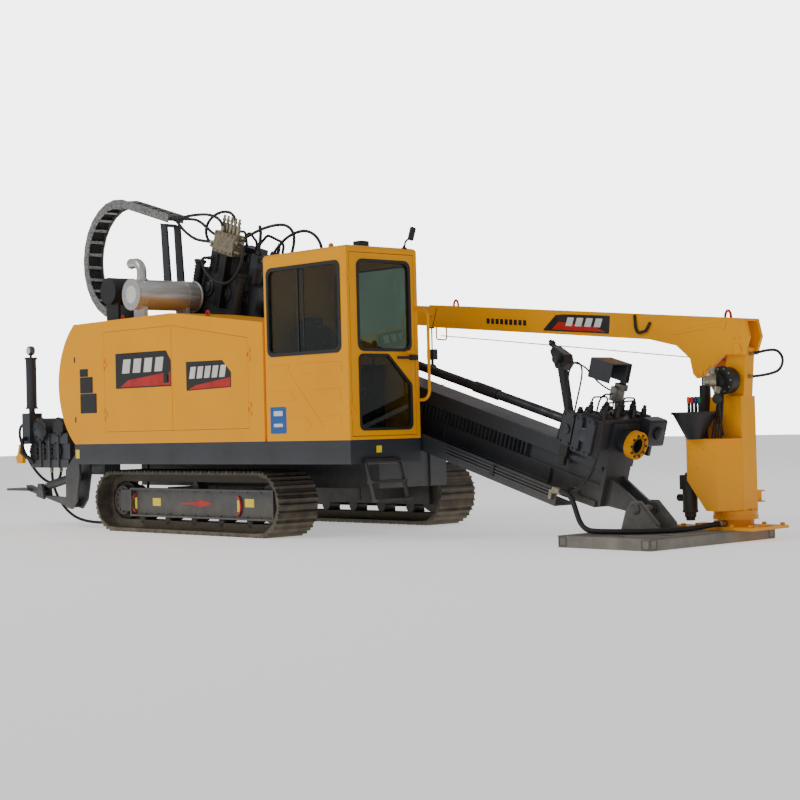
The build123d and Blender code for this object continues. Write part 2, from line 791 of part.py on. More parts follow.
with BuildPart(mast) as breakout_vise:
    disc(across(mast, break_vise_back), 118, break_vise_front - break_vise_back)
    # Journal that turns against the front vise
    disc(across(mast, break_vise_front - 1), 96, front_vise_back - seat_gap - break_vise_front + 1)
    slab(break_vise_back, break_vise_front, -320, 320, -75, 135)
    for side in (-1, 1):
        slab(break_vise_back, break_vise_front, side * 310, side * 344, -120, 165)
    disc(across(mast, break_vise_back - 1), vise_bore, 500, mode=Mode.SUBTRACT)
keep(breakout_vise, "breakout_vise")

# Sheet-metal hood on its post over the vises, and the thread greaser on a leaning post
hood_u0, hood_u1 = -554.0, -314.0
hood_y0, hood_y1 = -150.0, 105.0
hood_w0, hood_w1 = 450.0, 618.0
sheet = 8.0
with BuildPart(mast) as vise_canopy:
    slab(hood_u0, hood_u1, hood_y0, hood_y1, hood_w0, hood_w1)
    slab(
        hood_u0 + sheet, hood_u1 + 1, hood_y0 + sheet, hood_y1 - sheet,
        hood_w0 - 1, hood_w1 - sheet, Mode.SUBTRACT,
    )
    slab(-375, -330, 60, 98, 180.3, hood_w1 - 4)
    slab(-380, -280, -40, 98, 180.3, 205)
keep(vise_canopy, "vise_canopy")

with BuildPart(mast) as joint_greaser:
    plate(
        (
            (-760, mast_top_w + seat_gap), (-650, mast_top_w + seat_gap), (-680, 120), (-830, 440),
            (-900, 440), (-740, 120),
        ),
        along(mast, -90), 60,
    )
    plate(
        (
            (-1000, 560), (-980, 610), (-830, 570), (-790, 500), (-820, 436), (-905, 436),
        ),
        along(mast, -70), 100,
    )
keep(joint_greaser, "joint_greaser")

# Energy chain: links that follow a strand, a half turn and a strand
chain_turn = chain_radius - chain_height / 2


def chain_place(s):
    """Point of the chain's middle line at s from its moving end, with its outward direction."""
    top_run = chain_end_u - chain_centre_u
    if s <= top_run:
        return chain_end_u - s, chain_centre_w + chain_turn, pi / 2
    s -= top_run
    if s <= pi * chain_turn:
        angle = pi / 2 + s / chain_turn
        return chain_centre_u + chain_turn * cos(angle), chain_centre_w + chain_turn * sin(angle), angle
    s -= pi * chain_turn
    return chain_centre_u + s, chain_centre_w - chain_turn, 3 * pi / 2


chain_length = (chain_end_u - chain_centre_u) + pi * chain_turn + (chain_fixed_u - chain_centre_u)
link_count = round(chain_length / chain_pitch)
link_step = chain_length / link_count


def chain_edge(s, height):
    """Point on the chain's edge at the distance s along it."""
    u, w, angle = chain_place(s)
    return u + height * cos(angle), w + height * sin(angle)


# Each link is two side plates, joined by two bars, and ends just short of the next one
with BuildPart(mast) as energy_chain:
    half_link = chain_height / 2
    for k in range(link_count):
        start, end = k * link_step + seat_gap / 2, (k + 1) * link_step - seat_gap / 2
        sides = (
            chain_edge(start, half_link), chain_edge(end, half_link),
            chain_edge(end, -half_link), chain_edge(start, -half_link),
        )
        for y in (chain_inner_y, chain_outer_y + chain_plate):
            plate(sides, along(mast, y), chain_plate)
    with BuildSketch(along(mast, chain_inner_y - 2)):
        for k in range(link_count):
            u, w, angle = chain_place((k + 0.5) * link_step)
            for height in (-27, 27):
                place = (u + height * cos(angle), w + height * sin(angle), 0)
                with Locations(Location(place, (0, 0, degrees(angle)))):
                    Rectangle(12, 34)
    extrude(amount=chain_inner_y - chain_outer_y - 4)
keep(energy_chain, "energy_chain")


# Carriage: side plates over the rails, a top plate under the head and thrust drives at both sides
plate_in = rail_half + move_gap
post_near = -395.0
with BuildPart(mast) as carriage:
    slab(
        carriage_back, carriage_front, -plate_in - 24, plate_in + 24,
        mast_top_w + seat_gap, mast_top_w + 46,
    )
    for side in (-1, 1):
        slab(
            carriage_back, carriage_front, side * plate_in, side * (plate_in + 24),
            mast_top_w - 100, mast_top_w + 40,
        )
        slab(
            carriage_back, carriage_front, side * (mast_half + 8 + move_gap), side * (plate_in + 2),
            mast_top_w - 60, mast_top_w - 26 - move_gap,
        )
    # Arm that carries the posts of the chain
    slab(carriage_back - 160, carriage_back + 5, post_near, plate_in, mast_top_w + 12, mast_top_w + 46)
keep(carriage, "carriage")

head_back = carriage_back + 130
head_front = carriage_front - 60
head_foot = mast_top_w + 46 + seat_gap
with BuildPart(mast) as rotary_head:
    slab(head_back, head_front, -185, 185, head_foot, 230)
    disc(across(mast, head_front - 1), 92, 61)
    for u in (head_back + 170, head_front - 190):
        for y in (-95, 95):
            disc(Plane(origin=mast.from_local_coords((u, y, 229)), z_dir=mast.z_dir), 72, 170)
            slab(u - 55, u + 55, y - 55, y + 55, 390, 540)
keep(rotary_head, "rotary_head")

drive_y = plate_in + 24 + seat_gap + drive_radius
with BuildPart(mast) as thrust_drives:
    for u in (carriage_back + 230, carriage_front - 260):
        for side in (-1, 1):
            foot = mast.from_local_coords((u, side * drive_y, mast_top_w - 110))
            disc(Plane(origin=foot, z_dir=mast.z_dir), drive_radius, 230)
            neck = mast.from_local_coords((u, side * drive_y, mast_top_w + 119))
            disc(Plane(origin=neck, z_dir=mast.z_dir), drive_radius - 14, 330)
keep(thrust_drives, "thrust_drives")

with BuildPart(mast) as valve_block:
    slab(-5760, -5420, -290, -150, 470, 690)
    for k in range(5):
        foot = mast.from_local_coords((-5720 + 65 * k, -220, 689))
        disc(Plane(origin=foot, z_dir=mast.z_dir), 24, 90)
    slab(-5640, -5540, -260, -185 - seat_gap, head_foot, 471)
keep(valve_block, "valve_block")

chain_under = chain_centre_w + chain_radius - chain_height
with BuildPart(mast) as chain_posts:
    for y in (post_near, -225):
        plate(
            (
                (carriage_back - 150, head_foot), (carriage_back - 20, head_foot),
                (carriage_back - 290, chain_under - 30), (carriage_back - 400, chain_under - 30),
            ),
            along(mast, y + 24), 24,
        )
    slab(
        carriage_back - 400, carriage_back - 290, post_near, -201, chain_under - 50, chain_under - 30,
    )
keep(chain_posts, "chain_posts")

# Spindle and the joined rods that reach into the vise
spindle_back = head_front + 60 + seat_gap
with BuildPart(mast) as spindle:
    disc(across(mast, spindle_back), 72, 90)
    disc(across(mast, spindle_back + 89), 58, rod_back - seat_gap - spindle_back - 89)
keep(spindle, "spindle")

with BuildPart(mast) as drill_rod:
    joint_u = rod_back + rod_length
    disc(across(mast, rod_back), rod_radius, rod_tip - rod_back)
    for u0, u1 in ((rod_back, rod_back + 190), (joint_u - 150, joint_u + 150), (rod_tip - 90, rod_tip)):
        disc(across(mast, u0), joint_radius, u1 - u0)
keep(drill_rod, "drill_rod")


# Anchor plate with the ears of the mast's hinge
with BuildPart() as anchor_plate:
    slab(plate_back, plate_front, plate_near, plate_far, 0, plate_height)
    for y in (ear_inner, -ear_inner - ear_thickness):
        plate(
            (
                (-357, plate_height - 1), (39, plate_height - 1), (39, 165), (-140, 345),
                (-240, 345), (-300, 260),
            ),
            side_plane(y + ear_thickness), ear_thickness,
        )
    bar(
        (plate_pin_x, -ear_inner - 1, plate_pin_z), (plate_pin_x, ear_inner + 1, plate_pin_z),
        plate_pin_radius,
    )
keep(anchor_plate, "anchor_plate")

base_top = 205.0
with BuildPart() as crane_base:
    slab(-100, 650, 300, 800, plate_height, plate_height + 25)
    bar((slew_x, slew_y, plate_height), (slew_x, slew_y, base_top - 30), 150)
    bar((slew_x, slew_y, base_top - 31), (slew_x, slew_y, base_top), 185)
keep(crane_base, "crane_base")

# Crane column with its foot, the head that the boom turns on and the foot of the luffing cylinder
cheek = 34.0
head_half = boom_half - cheek - move_gap
column_near = slew_y - boom_half + 5
column_foot = base_top + seat_gap
with BuildPart() as crane_column:
    bar((slew_x, slew_y, column_foot), (slew_x, slew_y, column_foot + 40), 180)
    plate(
        (
            (117, column_foot + 30), (455, column_foot + 30), (455, 1180), (150, 1180),
            (117, 900),
        ),
        side_plane(slew_y + boom_half - 5), 2 * boom_half - 10,
    )
    plate(
        (
            (230, 1170), (455, 1170), (490, luff_z), (luff_x + 20, luff_z + 22), (luff_x - 40, luff_z + 22),
            (300, luff_z - 60),
        ),
        side_plane(slew_y + head_half), 2 * head_half,
    )
    bar(
        (luff_x, slew_y - boom_half + 4, luff_z - 10), (luff_x, slew_y + boom_half - 4, luff_z - 10),
        24,
    )
    for offset in (-76, 52):
        slab(
            luff_base_x - 45, 118, slew_y + offset, slew_y + offset + 24,
            luff_base_z - 45, luff_base_z + 45,
        )
    bar((luff_base_x, slew_y - 55, luff_base_z), (luff_base_x, slew_y + 55, luff_base_z), 18)
keep(crane_column, "crane_column")

cabinet_near = 270.0
cabinet_far = column_near - seat_gap
with BuildPart() as valve_cabinet:
    plate(
        ((36, cabinet_near), (340, cabinet_near), (453, cabinet_far), (36, cabinet_far)),
        Plane.XY.offset(250), 585,
    )
    plate(
        ((30, 505), (225, 249), (225, 200), (30, 200)), side_plane(cabinet_far + 1),
        cabinet_far - cabinet_near + 2, Mode.SUBTRACT,
    )
keep(valve_cabinet, "valve_cabinet")

guard_x = 130.0
guard_y = 268.0
with BuildPart() as lever_guard:
    with BuildSketch(Plane.XY.offset(835)):
        with Locations((guard_x, guard_y)):
            Circle(68)
    with BuildSketch(Plane.XY.offset(1040)):
        with Locations((guard_x, guard_y)):
            Circle(175)
    loft()
    bar((guard_x, guard_y, 1039), (guard_x, guard_y, 1060), 190)
    for k in range(4):
        bar((guard_x - 54 + 36 * k, guard_y, 1050), (guard_x - 54 + 36 * k, guard_y, 1130), 13)
keep(lever_guard, "lever_guard")

with BuildPart() as winch:
    bar((340, slew_y - head_half - seat_gap, 1310), (340, column_near - 1, 1310), 80)
    bar((340, column_near, 1310), (340, column_near - 90, 1310), 110)
    bar((340, column_near - 89, 1310), (340, column_near - 160, 1310), 48)
keep(winch, "winch")

with BuildPart() as slew_motor:
    bar((-30, 390, 250), (-30, 390, 470), 62)
    slab(-90, 36 - seat_gap, 330, 450, 420, 540)
keep(slew_motor, "slew_motor")

# Boom: a box beam with cheek plates round the column's head and a gusset for the cylinder
box_start = 260.0
boom_top_w = boom_under + boom_depth
gusset = (
    (-70, -50), (120, -60), (eye_l - 60, eye_w - 20), (eye_l, eye_w - 45),
    (eye_l + 45, eye_w - 10), (470, -110), (620, -10), (950, boom_under + 5),
    (950, boom_top_w), (-60, boom_top_w), (-110, 100),
)
with BuildPart(boom_frame) as boom:
    slab(box_start, boom_length, -boom_half, boom_half, boom_under, boom_top_w)
    slab(
        box_start - 1, boom_length + 1, -boom_half + boom_wall, boom_half - boom_wall,
        boom_under + boom_wall, boom_top_w - boom_wall, Mode.SUBTRACT,
    )
    for y in (-boom_half + cheek, boom_half):
        plate(gusset, along(boom_frame, y), cheek)
    slab(
        box_start + 40, boom_length + 1, -boom_half + boom_wall, boom_half - boom_wall,
        boom_under + boom_wall, boom_top_w - boom_wall, Mode.SUBTRACT,
    )
    slab(-60, box_start + 1, -boom_half + 2, boom_half - 2, boom_top_w - 20, boom_top_w)
    bar(
        (luff_x, slew_y - 300, luff_z - 10), (luff_x, slew_y + 300, luff_z - 10),
        24 + seat_gap, Mode.SUBTRACT,
    )
keep(boom, "boom")

ext_half = boom_half - boom_wall - seat_gap
ext_under = boom_under + boom_wall + seat_gap
ext_top = boom_top_w - boom_wall - seat_gap
ext_end = boom_length + 205
hook_l = boom_length + 60
with BuildPart(boom_frame) as boom_extension:
    slab(boom_length - 2100, ext_end, -ext_half, ext_half, ext_under, ext_top)
    slab(
        boom_length - 2101, ext_end - 120, -ext_half + 10, ext_half - 10, ext_under + 10, ext_top - 10,
        Mode.SUBTRACT,
    )
keep(boom_extension, "boom_extension")

hook_top = boom_frame.from_local_coords((hook_l, 0, ext_under))
hook_x = hook_top.X
hook_z = hook_top.Z
with BuildPart() as hook_block:
    hook_seat = hook_z - 28 * sin(rise) / cos(rise) - seat_gap
    bar((hook_x, slew_y, hook_z - 26), (hook_x, slew_y, hook_seat), 28)
    bar((hook_x, slew_y, hook_z - 230), (hook_x, slew_y, hook_z - 25), 7)
    slab(hook_x - 45, hook_x + 45, slew_y - 30, slew_y + 30, hook_z - 330, hook_z - 229)
    bar((hook_x, slew_y, hook_z - 385), (hook_x, slew_y, hook_z - 329), 14)
    disc(Plane(origin=(hook_x, slew_y + 14, hook_z - 425), x_dir=(1, 0, 0), z_dir=(0, -1, 0)), 52, 28, 28)
keep(hook_block, "hook_block")


def cylinder_point(base, eye, y, distance):
    """Point on a cylinder's axis at a distance from its base."""
    length = ((eye[0] - base[0]) ** 2 + (eye[1] - base[1]) ** 2) ** 0.5
    share = distance / length
    return base[0] + share * (eye[0] - base[0]), y, base[1] + share * (eye[1] - base[1])


def barrel_solid(base, eye, y, radius, rod_size, half, barrel_end):
    """Barrel of a cylinder with its foot eye, bored for the rod and for the pin."""
    bar(cylinder_point(base, eye, y, 20), cylinder_point(base, eye, y, barrel_end), radius)
    bar((base[0], y - half, base[1]), (base[0], y + half, base[1]), radius * 0.8)
    bar(
        cylinder_point(base, eye, y, 60), cylinder_point(base, eye, y, barrel_end + 1),
        rod_size + seat_gap, Mode.SUBTRACT,
    )
    bar((base[0], y - 80, base[1]), (base[0], y + 80, base[1]), 18 + seat_gap, Mode.SUBTRACT)


def rod_solid(base, eye, y, rod_size, half, rod_start):
    """Rod of a cylinder with its eye."""
    length = ((eye[0] - base[0]) ** 2 + (eye[1] - base[1]) ** 2) ** 0.5
    bar(cylinder_point(base, eye, y, rod_start), cylinder_point(base, eye, y, length - 20), rod_size)
    bar((eye[0], y - half, eye[1]), (eye[0], y + half, eye[1]), rod_size * 1.25)


# Luffing cylinder of the crane
eye_point = boom_frame.from_local_coords((eye_l, 0, eye_w))
luff_base = (luff_base_x, luff_base_z)
luff_eye = (eye_point.X, eye_point.Z)
with BuildPart() as luff_barrel:
    barrel_solid(luff_base, luff_eye, slew_y, 48, 28, 32, 640)
keep(luff_barrel, "luff_barrel")
with BuildPart() as luff_rod:
    rod_solid(luff_base, luff_eye, slew_y, 28, 30, 150)
keep(luff_rod, "luff_rod")

# Lift cylinders of the mast
lift_base = (lift_base_x, lift_base_z)
lift_eye = (lift_eye_x, lift_eye_z)
with BuildPart() as lift_barrels:
    for y in (-lift_y, lift_y):
        barrel_solid(lift_base, lift_eye, y, 50, 30, 30, 860)
keep(lift_barrels, "lift_barrels")
with BuildPart() as lift_rods:
    for y in (-lift_y, lift_y):
        rod_solid(lift_base, lift_eye, y, 30, 30, 430)
keep(lift_rods, "lift_rods")

# Stabilizers behind the deck
stab_base = (stab_base_x, stab_base_z)
stab_eye = (stab_eye_x, stab_eye_z)
for side, word in ((-1, "near"), (1, "far")):
    y = side * stab_y
    with BuildPart() as stabilizer_leg:
        plate(
            (
                (stab_pivot_x + 45, stab_pivot_z - 40), (stab_pivot_x - 20, stab_pivot_z - 50),
                (stab_end_x, stab_end_z - 60), (stab_end_x - 40, stab_end_z), (-7740, 400),
                (-7560, 340), (stab_pivot_x, stab_pivot_z + 50),
            ),
            side_plane(y + 40), 80,
        )
        for offset in (-60, 36):
            plate(
                ((-7700, 330), (-7540, 300), (-7580, 470), (-7660, 470)),
                side_plane(y + offset + 24), 24,
            )
        slab(-8240, -7800, y - 105, y + 105, 390, 415)
        bar(
            (stab_pivot_x, y - 45, stab_pivot_z), (stab_pivot_x, y + 45, stab_pivot_z),
            18 + seat_gap, Mode.SUBTRACT,
        )
    keep(stabilizer_leg, f"stabilizer_leg_{word}")
    with BuildPart() as stabilizer_barrel:
        barrel_solid(stab_base, stab_eye, y, 46, 28, 30, 500)
    keep(stabilizer_barrel, f"stabilizer_barrel_{word}")
    with BuildPart() as stabilizer_rod:
        rod_solid(stab_base, stab_eye, y, 28, 30, 130)
    keep(stabilizer_rod, f"stabilizer_rod_{word}")
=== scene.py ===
# %% [markdown]
# # A crawler drill, dressed for a photograph
# The machine lays pipes under roads: a tilted mast pushes a turning rod into the ground, and a cab,
# an engine hood and a small crane ride with it on crawlers. Its exact solids come packed from CAD,
# and this lesson gives them paint, rubber, glass and the small parts that solids leave out.
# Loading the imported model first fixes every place, so that nothing here has to be fitted by eye.

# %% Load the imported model
import json
import math

import bpy
import numpy as np
from mathutils import Matrix, Vector


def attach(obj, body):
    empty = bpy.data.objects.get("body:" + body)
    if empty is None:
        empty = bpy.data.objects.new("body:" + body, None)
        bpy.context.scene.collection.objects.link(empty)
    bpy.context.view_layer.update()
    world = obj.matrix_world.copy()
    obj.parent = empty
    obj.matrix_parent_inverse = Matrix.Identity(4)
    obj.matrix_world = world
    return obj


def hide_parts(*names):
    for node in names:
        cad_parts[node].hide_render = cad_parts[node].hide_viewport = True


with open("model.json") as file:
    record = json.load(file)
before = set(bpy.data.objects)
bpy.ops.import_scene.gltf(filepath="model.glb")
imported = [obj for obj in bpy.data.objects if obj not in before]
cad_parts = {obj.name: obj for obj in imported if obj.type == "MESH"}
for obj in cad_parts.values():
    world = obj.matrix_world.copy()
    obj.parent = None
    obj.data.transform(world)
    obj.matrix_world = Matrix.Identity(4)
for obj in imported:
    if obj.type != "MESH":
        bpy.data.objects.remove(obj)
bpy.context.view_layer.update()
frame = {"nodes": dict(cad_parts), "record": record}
nodes = frame["nodes"]
print("packed pieces:", len(nodes))

# %% [markdown]
# ## The camera
# The photograph was taken from low down, in front of the cab's side and well away, so that lines
# hardly converge. The place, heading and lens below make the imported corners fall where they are
# in the photograph. A camera is an object like any other: its matrix holds its place and its axes.

# %% Camera
heading, lift, roll = 0.825211, 0.013278, -0.025259
level = Vector((math.cos(heading), math.sin(heading), 0))
facing = Vector((-math.sin(heading), math.cos(heading), 0))
ahead = facing * math.cos(lift) + Vector((0, 0, math.sin(lift)))
above = level.cross(ahead)
right = level * math.cos(roll) + above * math.sin(roll)
upward = above * math.cos(roll) - level * math.sin(roll)
camera = bpy.data.objects.new("camera", bpy.data.cameras.new("camera"))
camera.data.lens, camera.data.sensor_width = 78.121, 36.0
camera.data.clip_end = 200
camera.matrix_world = Matrix.Translation((8.930145, -11.128352, 1.028913)) @ Matrix(
    (right, upward, -ahead)
).transposed().to_4x4()
bpy.context.collection.objects.link(camera)
bpy.context.scene.camera = camera
print("camera at", [round(v, 2) for v in camera.matrix_world.translation])

# %% [markdown]
# ## Two frames of the machine
# Most pieces are measured from the ground, but the mast leans nose-down, and pieces on it are
# easier to give along and across the beam. Each frame is a small matrix, and sizes are in
# millimetres until a piece is finished, as on a drawing.

# %% Frames
MM = 0.001
tilt = math.radians(16.5)
GROUND = np.eye(4)
MAST = np.array([
    [math.cos(tilt), 0, math.sin(tilt), -243.5],
    [0, 1, 0, 0],
    [-math.sin(tilt), 0, math.cos(tilt), 788.8],
    [0, 0, 0, 1],
])


def put(points, place):
    """Points times a frame's matrix: turned by its axes, then moved to its origin."""
    points = np.asarray(points, float)
    return points @ place[:3, :3].T + place[:3, 3]


print("mast foot at", put([[0, 0, 0]], MAST).round(1))

# %% [markdown]
# ## Hoses
# Pressure hoses are rubber over steel braid, cut to one fixed length. They leave a fitting straight
# and then stand or hang in the even curve that their stiffness gives. A smooth spline with a few
# control points bends as evenly as a hose does. Each one is declared with its thickness and route.

# %% Hoses
hoses, hose_body = {}, {}


def hose(name, body, diameter, place, route):
    """One open smooth spline whose control points are given in millimetres of a frame."""
    line = bpy.data.curves.new(name, "CURVE")
    line.dimensions = "3D"
    line.bevel_depth, line.bevel_resolution, line.resolution_u = 1, 3, 10  # times point radius
    points = put(route, place) * MM
    spline = line.splines.new("NURBS")
    spline.points.add(len(points) - 1)
    spline.points.foreach_set("co", np.c_[points, np.ones(len(points))].ravel())
    # The thickness is each point's own radius, because Blender counts it in a curve's box
    spline.points.foreach_set("radius", np.full(len(points), diameter / 2))
    spline.order_u = 3
    spline.use_endpoint_u = True
    hoses[name] = bpy.data.objects.new(name, line)
    bpy.context.collection.objects.link(hoses[name])
    hose_body[name] = body
    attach(hoses[name], body)


hose("pump_supply_hose", "chassis", 0.030, GROUND, [
    (-7740, -980, 639), (-7737, -980, 560), (-7725, -978, 470), (-7680, -975, 370),
    (-7600, -970, 270), (-7480, -960, 170), (-7340, -940, 95), (-7180, -905, 55),
    (-6980, -850, 40), (-6760, -765, 42), (-6570, -690, 70), (-6450, -650, 170),
    (-6400, -640, 330), (-6390, -632, 500), (-6388, -630, 680), (-6388, -630, 875),
])
hose("pump_return_hose", "chassis", 0.030, GROUND, [
    (-8011, -1120, 1120), (-8080, -1120, 1121), (-8145, -1119, 1100), (-8178, -1117, 1035),
    (-8168, -1112, 940), (-8115, -1100, 825), (-8050, -1078, 715), (-7985, -1045, 610),
    (-7915, -1000, 520), (-7840, -950, 465), (-7775, -905, 470), (-7745, -872, 530),
    (-7740, -862, 590), (-7740, -860, 639),
])
hose("plate_hose", "anchor", 0.044, GROUND, [
    (-812, -418, 442), (-735, -424, 432), (-665, -428, 418), (-585, -450, 372), (-515, -488, 280),
    (-445, -520, 180), (-355, -540, 126), (-250, -532, 120), (-135, -500, 120),
    (-20, -446, 119), (85, -370, 119), (170, -245, 119), (230, -95, 119),
    (272, 70, 125), (294, 210, 140), (300, 310, 146), (300, 409, 146),
])
hose("boom_loop_hose", "column", 0.024, GROUND, [
    (486, 560, 1520), (570, 560, 1530), (665, 560, 1545), (760, 560, 1540), (812, 560, 1462),
    (772, 560, 1375), (670, 560, 1350), (560, 560, 1338), (470.5, 560, 1335),
])
hose("winch_hose", "column", 0.014, GROUND, [
    (352, 330, 1255), (352, 322, 1190), (346, 322, 1110), (334, 340, 1020), (322, 372, 940),
    (318, 395, 880), (318, 400, 836),
])
hose("carrier_hose_top", "carriage", 0.032, MAST, [
    (-6545, -350, 667), (-6430, -350, 672), (-6300, -345, 712), (-6110, -325, 778),
    (-5900, -296, 826), (-5740, -278, 812), (-5660, -271, 750), (-5650, -271, 691),
])
hose("carrier_hose_low", "carriage", 0.032, MAST, [
    (-6545, -300, 667), (-6450, -302, 655), (-6360, -307, 618), (-6240, -314, 570),
    (-6050, -322, 532), (-5900, -305, 540), (-5761, -270, 556),
])
hose("carrier_hose_mid", "carriage", 0.032, MAST, [
    (-6545, -245, 667), (-6440, -242, 676), (-6320, -240, 700), (-6150, -242, 722),
    (-5990, -240, 680), (-5870, -235, 632), (-5761, -230, 625),
])
hose("rear_motor_hose", "carriage", 0.032, MAST, [
    (-5956, -95, 500), (-6050, -96, 502), (-6140, -98, 535), (-6180, -100, 625),
    (-6140, -104, 725), (-6030, -110, 815), (-5880, -118, 872), (-5730, -128, 880),
    (-5630, -145, 825), (-5596, -165, 755), (-5592, -170, 691),
])
hose("front_arc_hose", "carriage", 0.032, MAST, [
    (-5419, -200, 650), (-5340, -185, 705), (-5210, -148, 800), (-5060, -100, 880),
    (-4910, -50, 920), (-4800, -20, 850), (-4790, -10, 700), (-4850, -5, 520),
    (-4960, 0, 380), (-5050, 0, 310), (-5070, 0, 231),
])
hose("front_motor_hose", "carriage", 0.032, MAST, [
    (-5164, -95, 480), (-5090, -102, 495), (-4980, -125, 570), (-4880, -145, 680),
    (-4780, -150, 790), (-4670, -120, 880), (-4540, -80, 930), (-4410, -40, 890),
    (-4340, 0, 760), (-4420, 45, 540), (-4600, 60, 340), (-4820, 62, 210), (-4940, 60, 168),
    (-5029, 60, 165),
])
hose("belly_hose", "carriage", 0.032, MAST, [
    (-5900, -168, 365), (-5896, -235, 368), (-5880, -305, 366), (-5830, -348, 335),
    (-5740, -364, 262), (-5620, -366, 205), (-5450, -366, 180), (-5300, -366, 215),
    (-5200, -362, 320), (-5172, -345, 450), (-5200, -312, 560), (-5290, -278, 612),
    (-5419, -262, 622),
])
hose("vise_loop_hose", "mast", 0.016, MAST, [
    (-628, -196, -119), (-632, -196, 20), (-660, -192, 180), (-712, -188, 320),
    (-734, -185, 420), (-728, -184, 490), (-694, -184, 538), (-642, -184, 548),
    (-600, -184, 512), (-582, -186, 440), (-580, -190, 300), (-583, -194, 120),
    (-584, -196, -119),
])
hose("greaser_hose", "mast", 0.016, MAST, [
    (-835, -69, 500), (-834, -35, 500), (-800, 0, 498), (-730, 5, 488), (-640, -12, 455),
    (-540, -28, 410), (-440, -22, 380), (-375, 0, 368), (-352, 25, 364), (-350, 59, 362),
])
hose("vise_top_hose", "mast", 0.016, MAST, [
    (-340, -200, 181), (-341, -200, 245), (-346, -185, 310), (-352, -130, 350),
    (-355, -60, 350), (-354, 0, 335), (-354, 59, 322),
])
hose("vise_side_hose", "mast", 0.024, MAST, [
    (-300, -100, 181), (-299, -108, 235), (-270, -150, 285), (-215, -235, 300),
    (-145, -325, 265), (-90, -390, 170), (-62, -420, 40), (-58, -424, -120), (-95, -428, -280),
    (-170, -430, -390), (-260, -420, -450), (-345, -375, -480), (-400, -290, -490),
    (-418, -215, -490), (-420, -151, -490),
])
print("hoses:", len(hoses))

# %% [markdown]
# ## Surfaces worked out as arrays
# Sheet metal, tubes and turned parts are all families of curves. A prism carries an outline
# straight, a lathe turns a profile round an axis, and a tube carries a circle along a path. Each
# function works out all its points at once and gives points and faces, so shapes can be joined,
# copied in rows and turned into one mesh at the end.

# %% Shape functions
def ring_faces(rings, sides, closed=False):
    """Quads between neighbouring rings of points; the last ring meets the first if closed."""
    i = np.arange(rings if closed else rings - 1)[:, None]
    j = np.arange(sides)[None, :]
    a, b = i * sides + j, i * sides + (j + 1) % sides
    c, d = ((i + 1) % rings) * sides + (j + 1) % sides, ((i + 1) % rings) * sides + j
    return [list(q) for q in np.stack([a, b, c, d], -1).reshape(-1, 4)]


def skin(rings, closed=False):
    """Rings of points, as an array of rings, sides and three, joined into a closed surface."""
    count, sides = rings.shape[:2]
    faces = ring_faces(count, sides, closed)
    if not closed:
        faces += [list(range(sides))[::-1], list(range((count - 1) * sides, count * sides))]
    return rings.reshape(-1, 3), faces


def prism(outline, start, end, axis="y"):
    """A closed outline carried straight along an axis, from start to end."""
    flat = np.asarray(outline, float)
    level = np.array([start, end], float)[:, None] * np.ones(len(flat))
    u, v = np.broadcast_to(flat[:, 0], level.shape), np.broadcast_to(flat[:, 1], level.shape)
    order = {"x": (level, u, v), "y": (u, level, v), "z": (u, v, level)}[axis]
    return skin(np.stack(order, -1))


def block(x0, x1, y0, y1, z0, z1):
    """A rectangle in x and y carried up from z0 to z1."""
    return prism([(x0, y0), (x1, y0), (x1, y1), (x0, y1)], z0, z1, "z")


def rounded(width, height, radius, steps=5):
    """A rectangle round the origin. Each corner is the last quarter circle, turned once more."""
    turn = np.linspace(0, np.pi / 2, steps)
    corner = np.stack([np.cos(turn), np.sin(turn)], 1) * radius
    reach = np.array([width / 2 - radius, height / 2 - radius])
    quarters = [corner + reach]
    for signs in ((-1, 1), (-1, -1), (1, -1)):
        corner = corner @ [[0, 1], [-1, 0]]
        quarters.append(corner + reach * signs)
    return np.concatenate(quarters)


# Directions that most turned pieces point in: to the near side, to the far side, and up
NEAR, FAR, UP = (0, -1, 0), (0, 1, 0), (0, 0, 1)


def circle(count, radius, centre, across=(0, 2), begin=0.0):
    """Points round a circle: centre plus radius times cosine and sine on the two axes across."""
    turn = np.linspace(begin, begin + 2 * np.pi, count, endpoint=False)
    points = np.tile(np.asarray(centre, float), (count, 1))
    points[:, across[0]] += radius * np.cos(turn)
    points[:, across[1]] += radius * np.sin(turn)
    return points


def lathe(profile, origin, axis, sides=28, closed=False):
    """A profile of distances along an axis and radii, turned once round that axis."""
    along, radius = np.asarray(profile, float).T
    axis = np.asarray(axis, float) / np.linalg.norm(axis)
    side = np.cross(axis, UP if abs(axis[2]) < 0.9 else (1, 0, 0))
    side /= np.linalg.norm(side)
    turn = np.linspace(0, 2 * np.pi, sides, endpoint=False)
    spoke = np.cos(turn)[:, None] * side + np.sin(turn)[:, None] * np.cross(axis, side)
    rings = np.asarray(origin, float) + along[:, None, None] * axis + radius[:, None, None] * spoke
    return skin(rings, closed)


def tube(path, radius, sides=12):
    """A circle carried along a path, in planes square to it, with a fixed sideways direction."""
    path = np.asarray(path, float)
    ahead_of = np.gradient(path, axis=0)
    ahead_of /= np.linalg.norm(ahead_of, axis=1)[:, None]
    flat = np.linalg.svd(path - path.mean(0))[2][2]
    side = np.cross(ahead_of, flat)
    side /= np.linalg.norm(side, axis=1)[:, None]
    other = np.cross(side, ahead_of)
    turn = np.linspace(0, 2 * np.pi, sides, endpoint=False)[None, :, None]
    radii = np.broadcast_to(np.asarray(radius, float), len(path))[:, None, None]
    rings = path[:, None] + radii * (np.cos(turn) * side[:, None] + np.sin(turn) * other[:, None])
    return skin(rings)


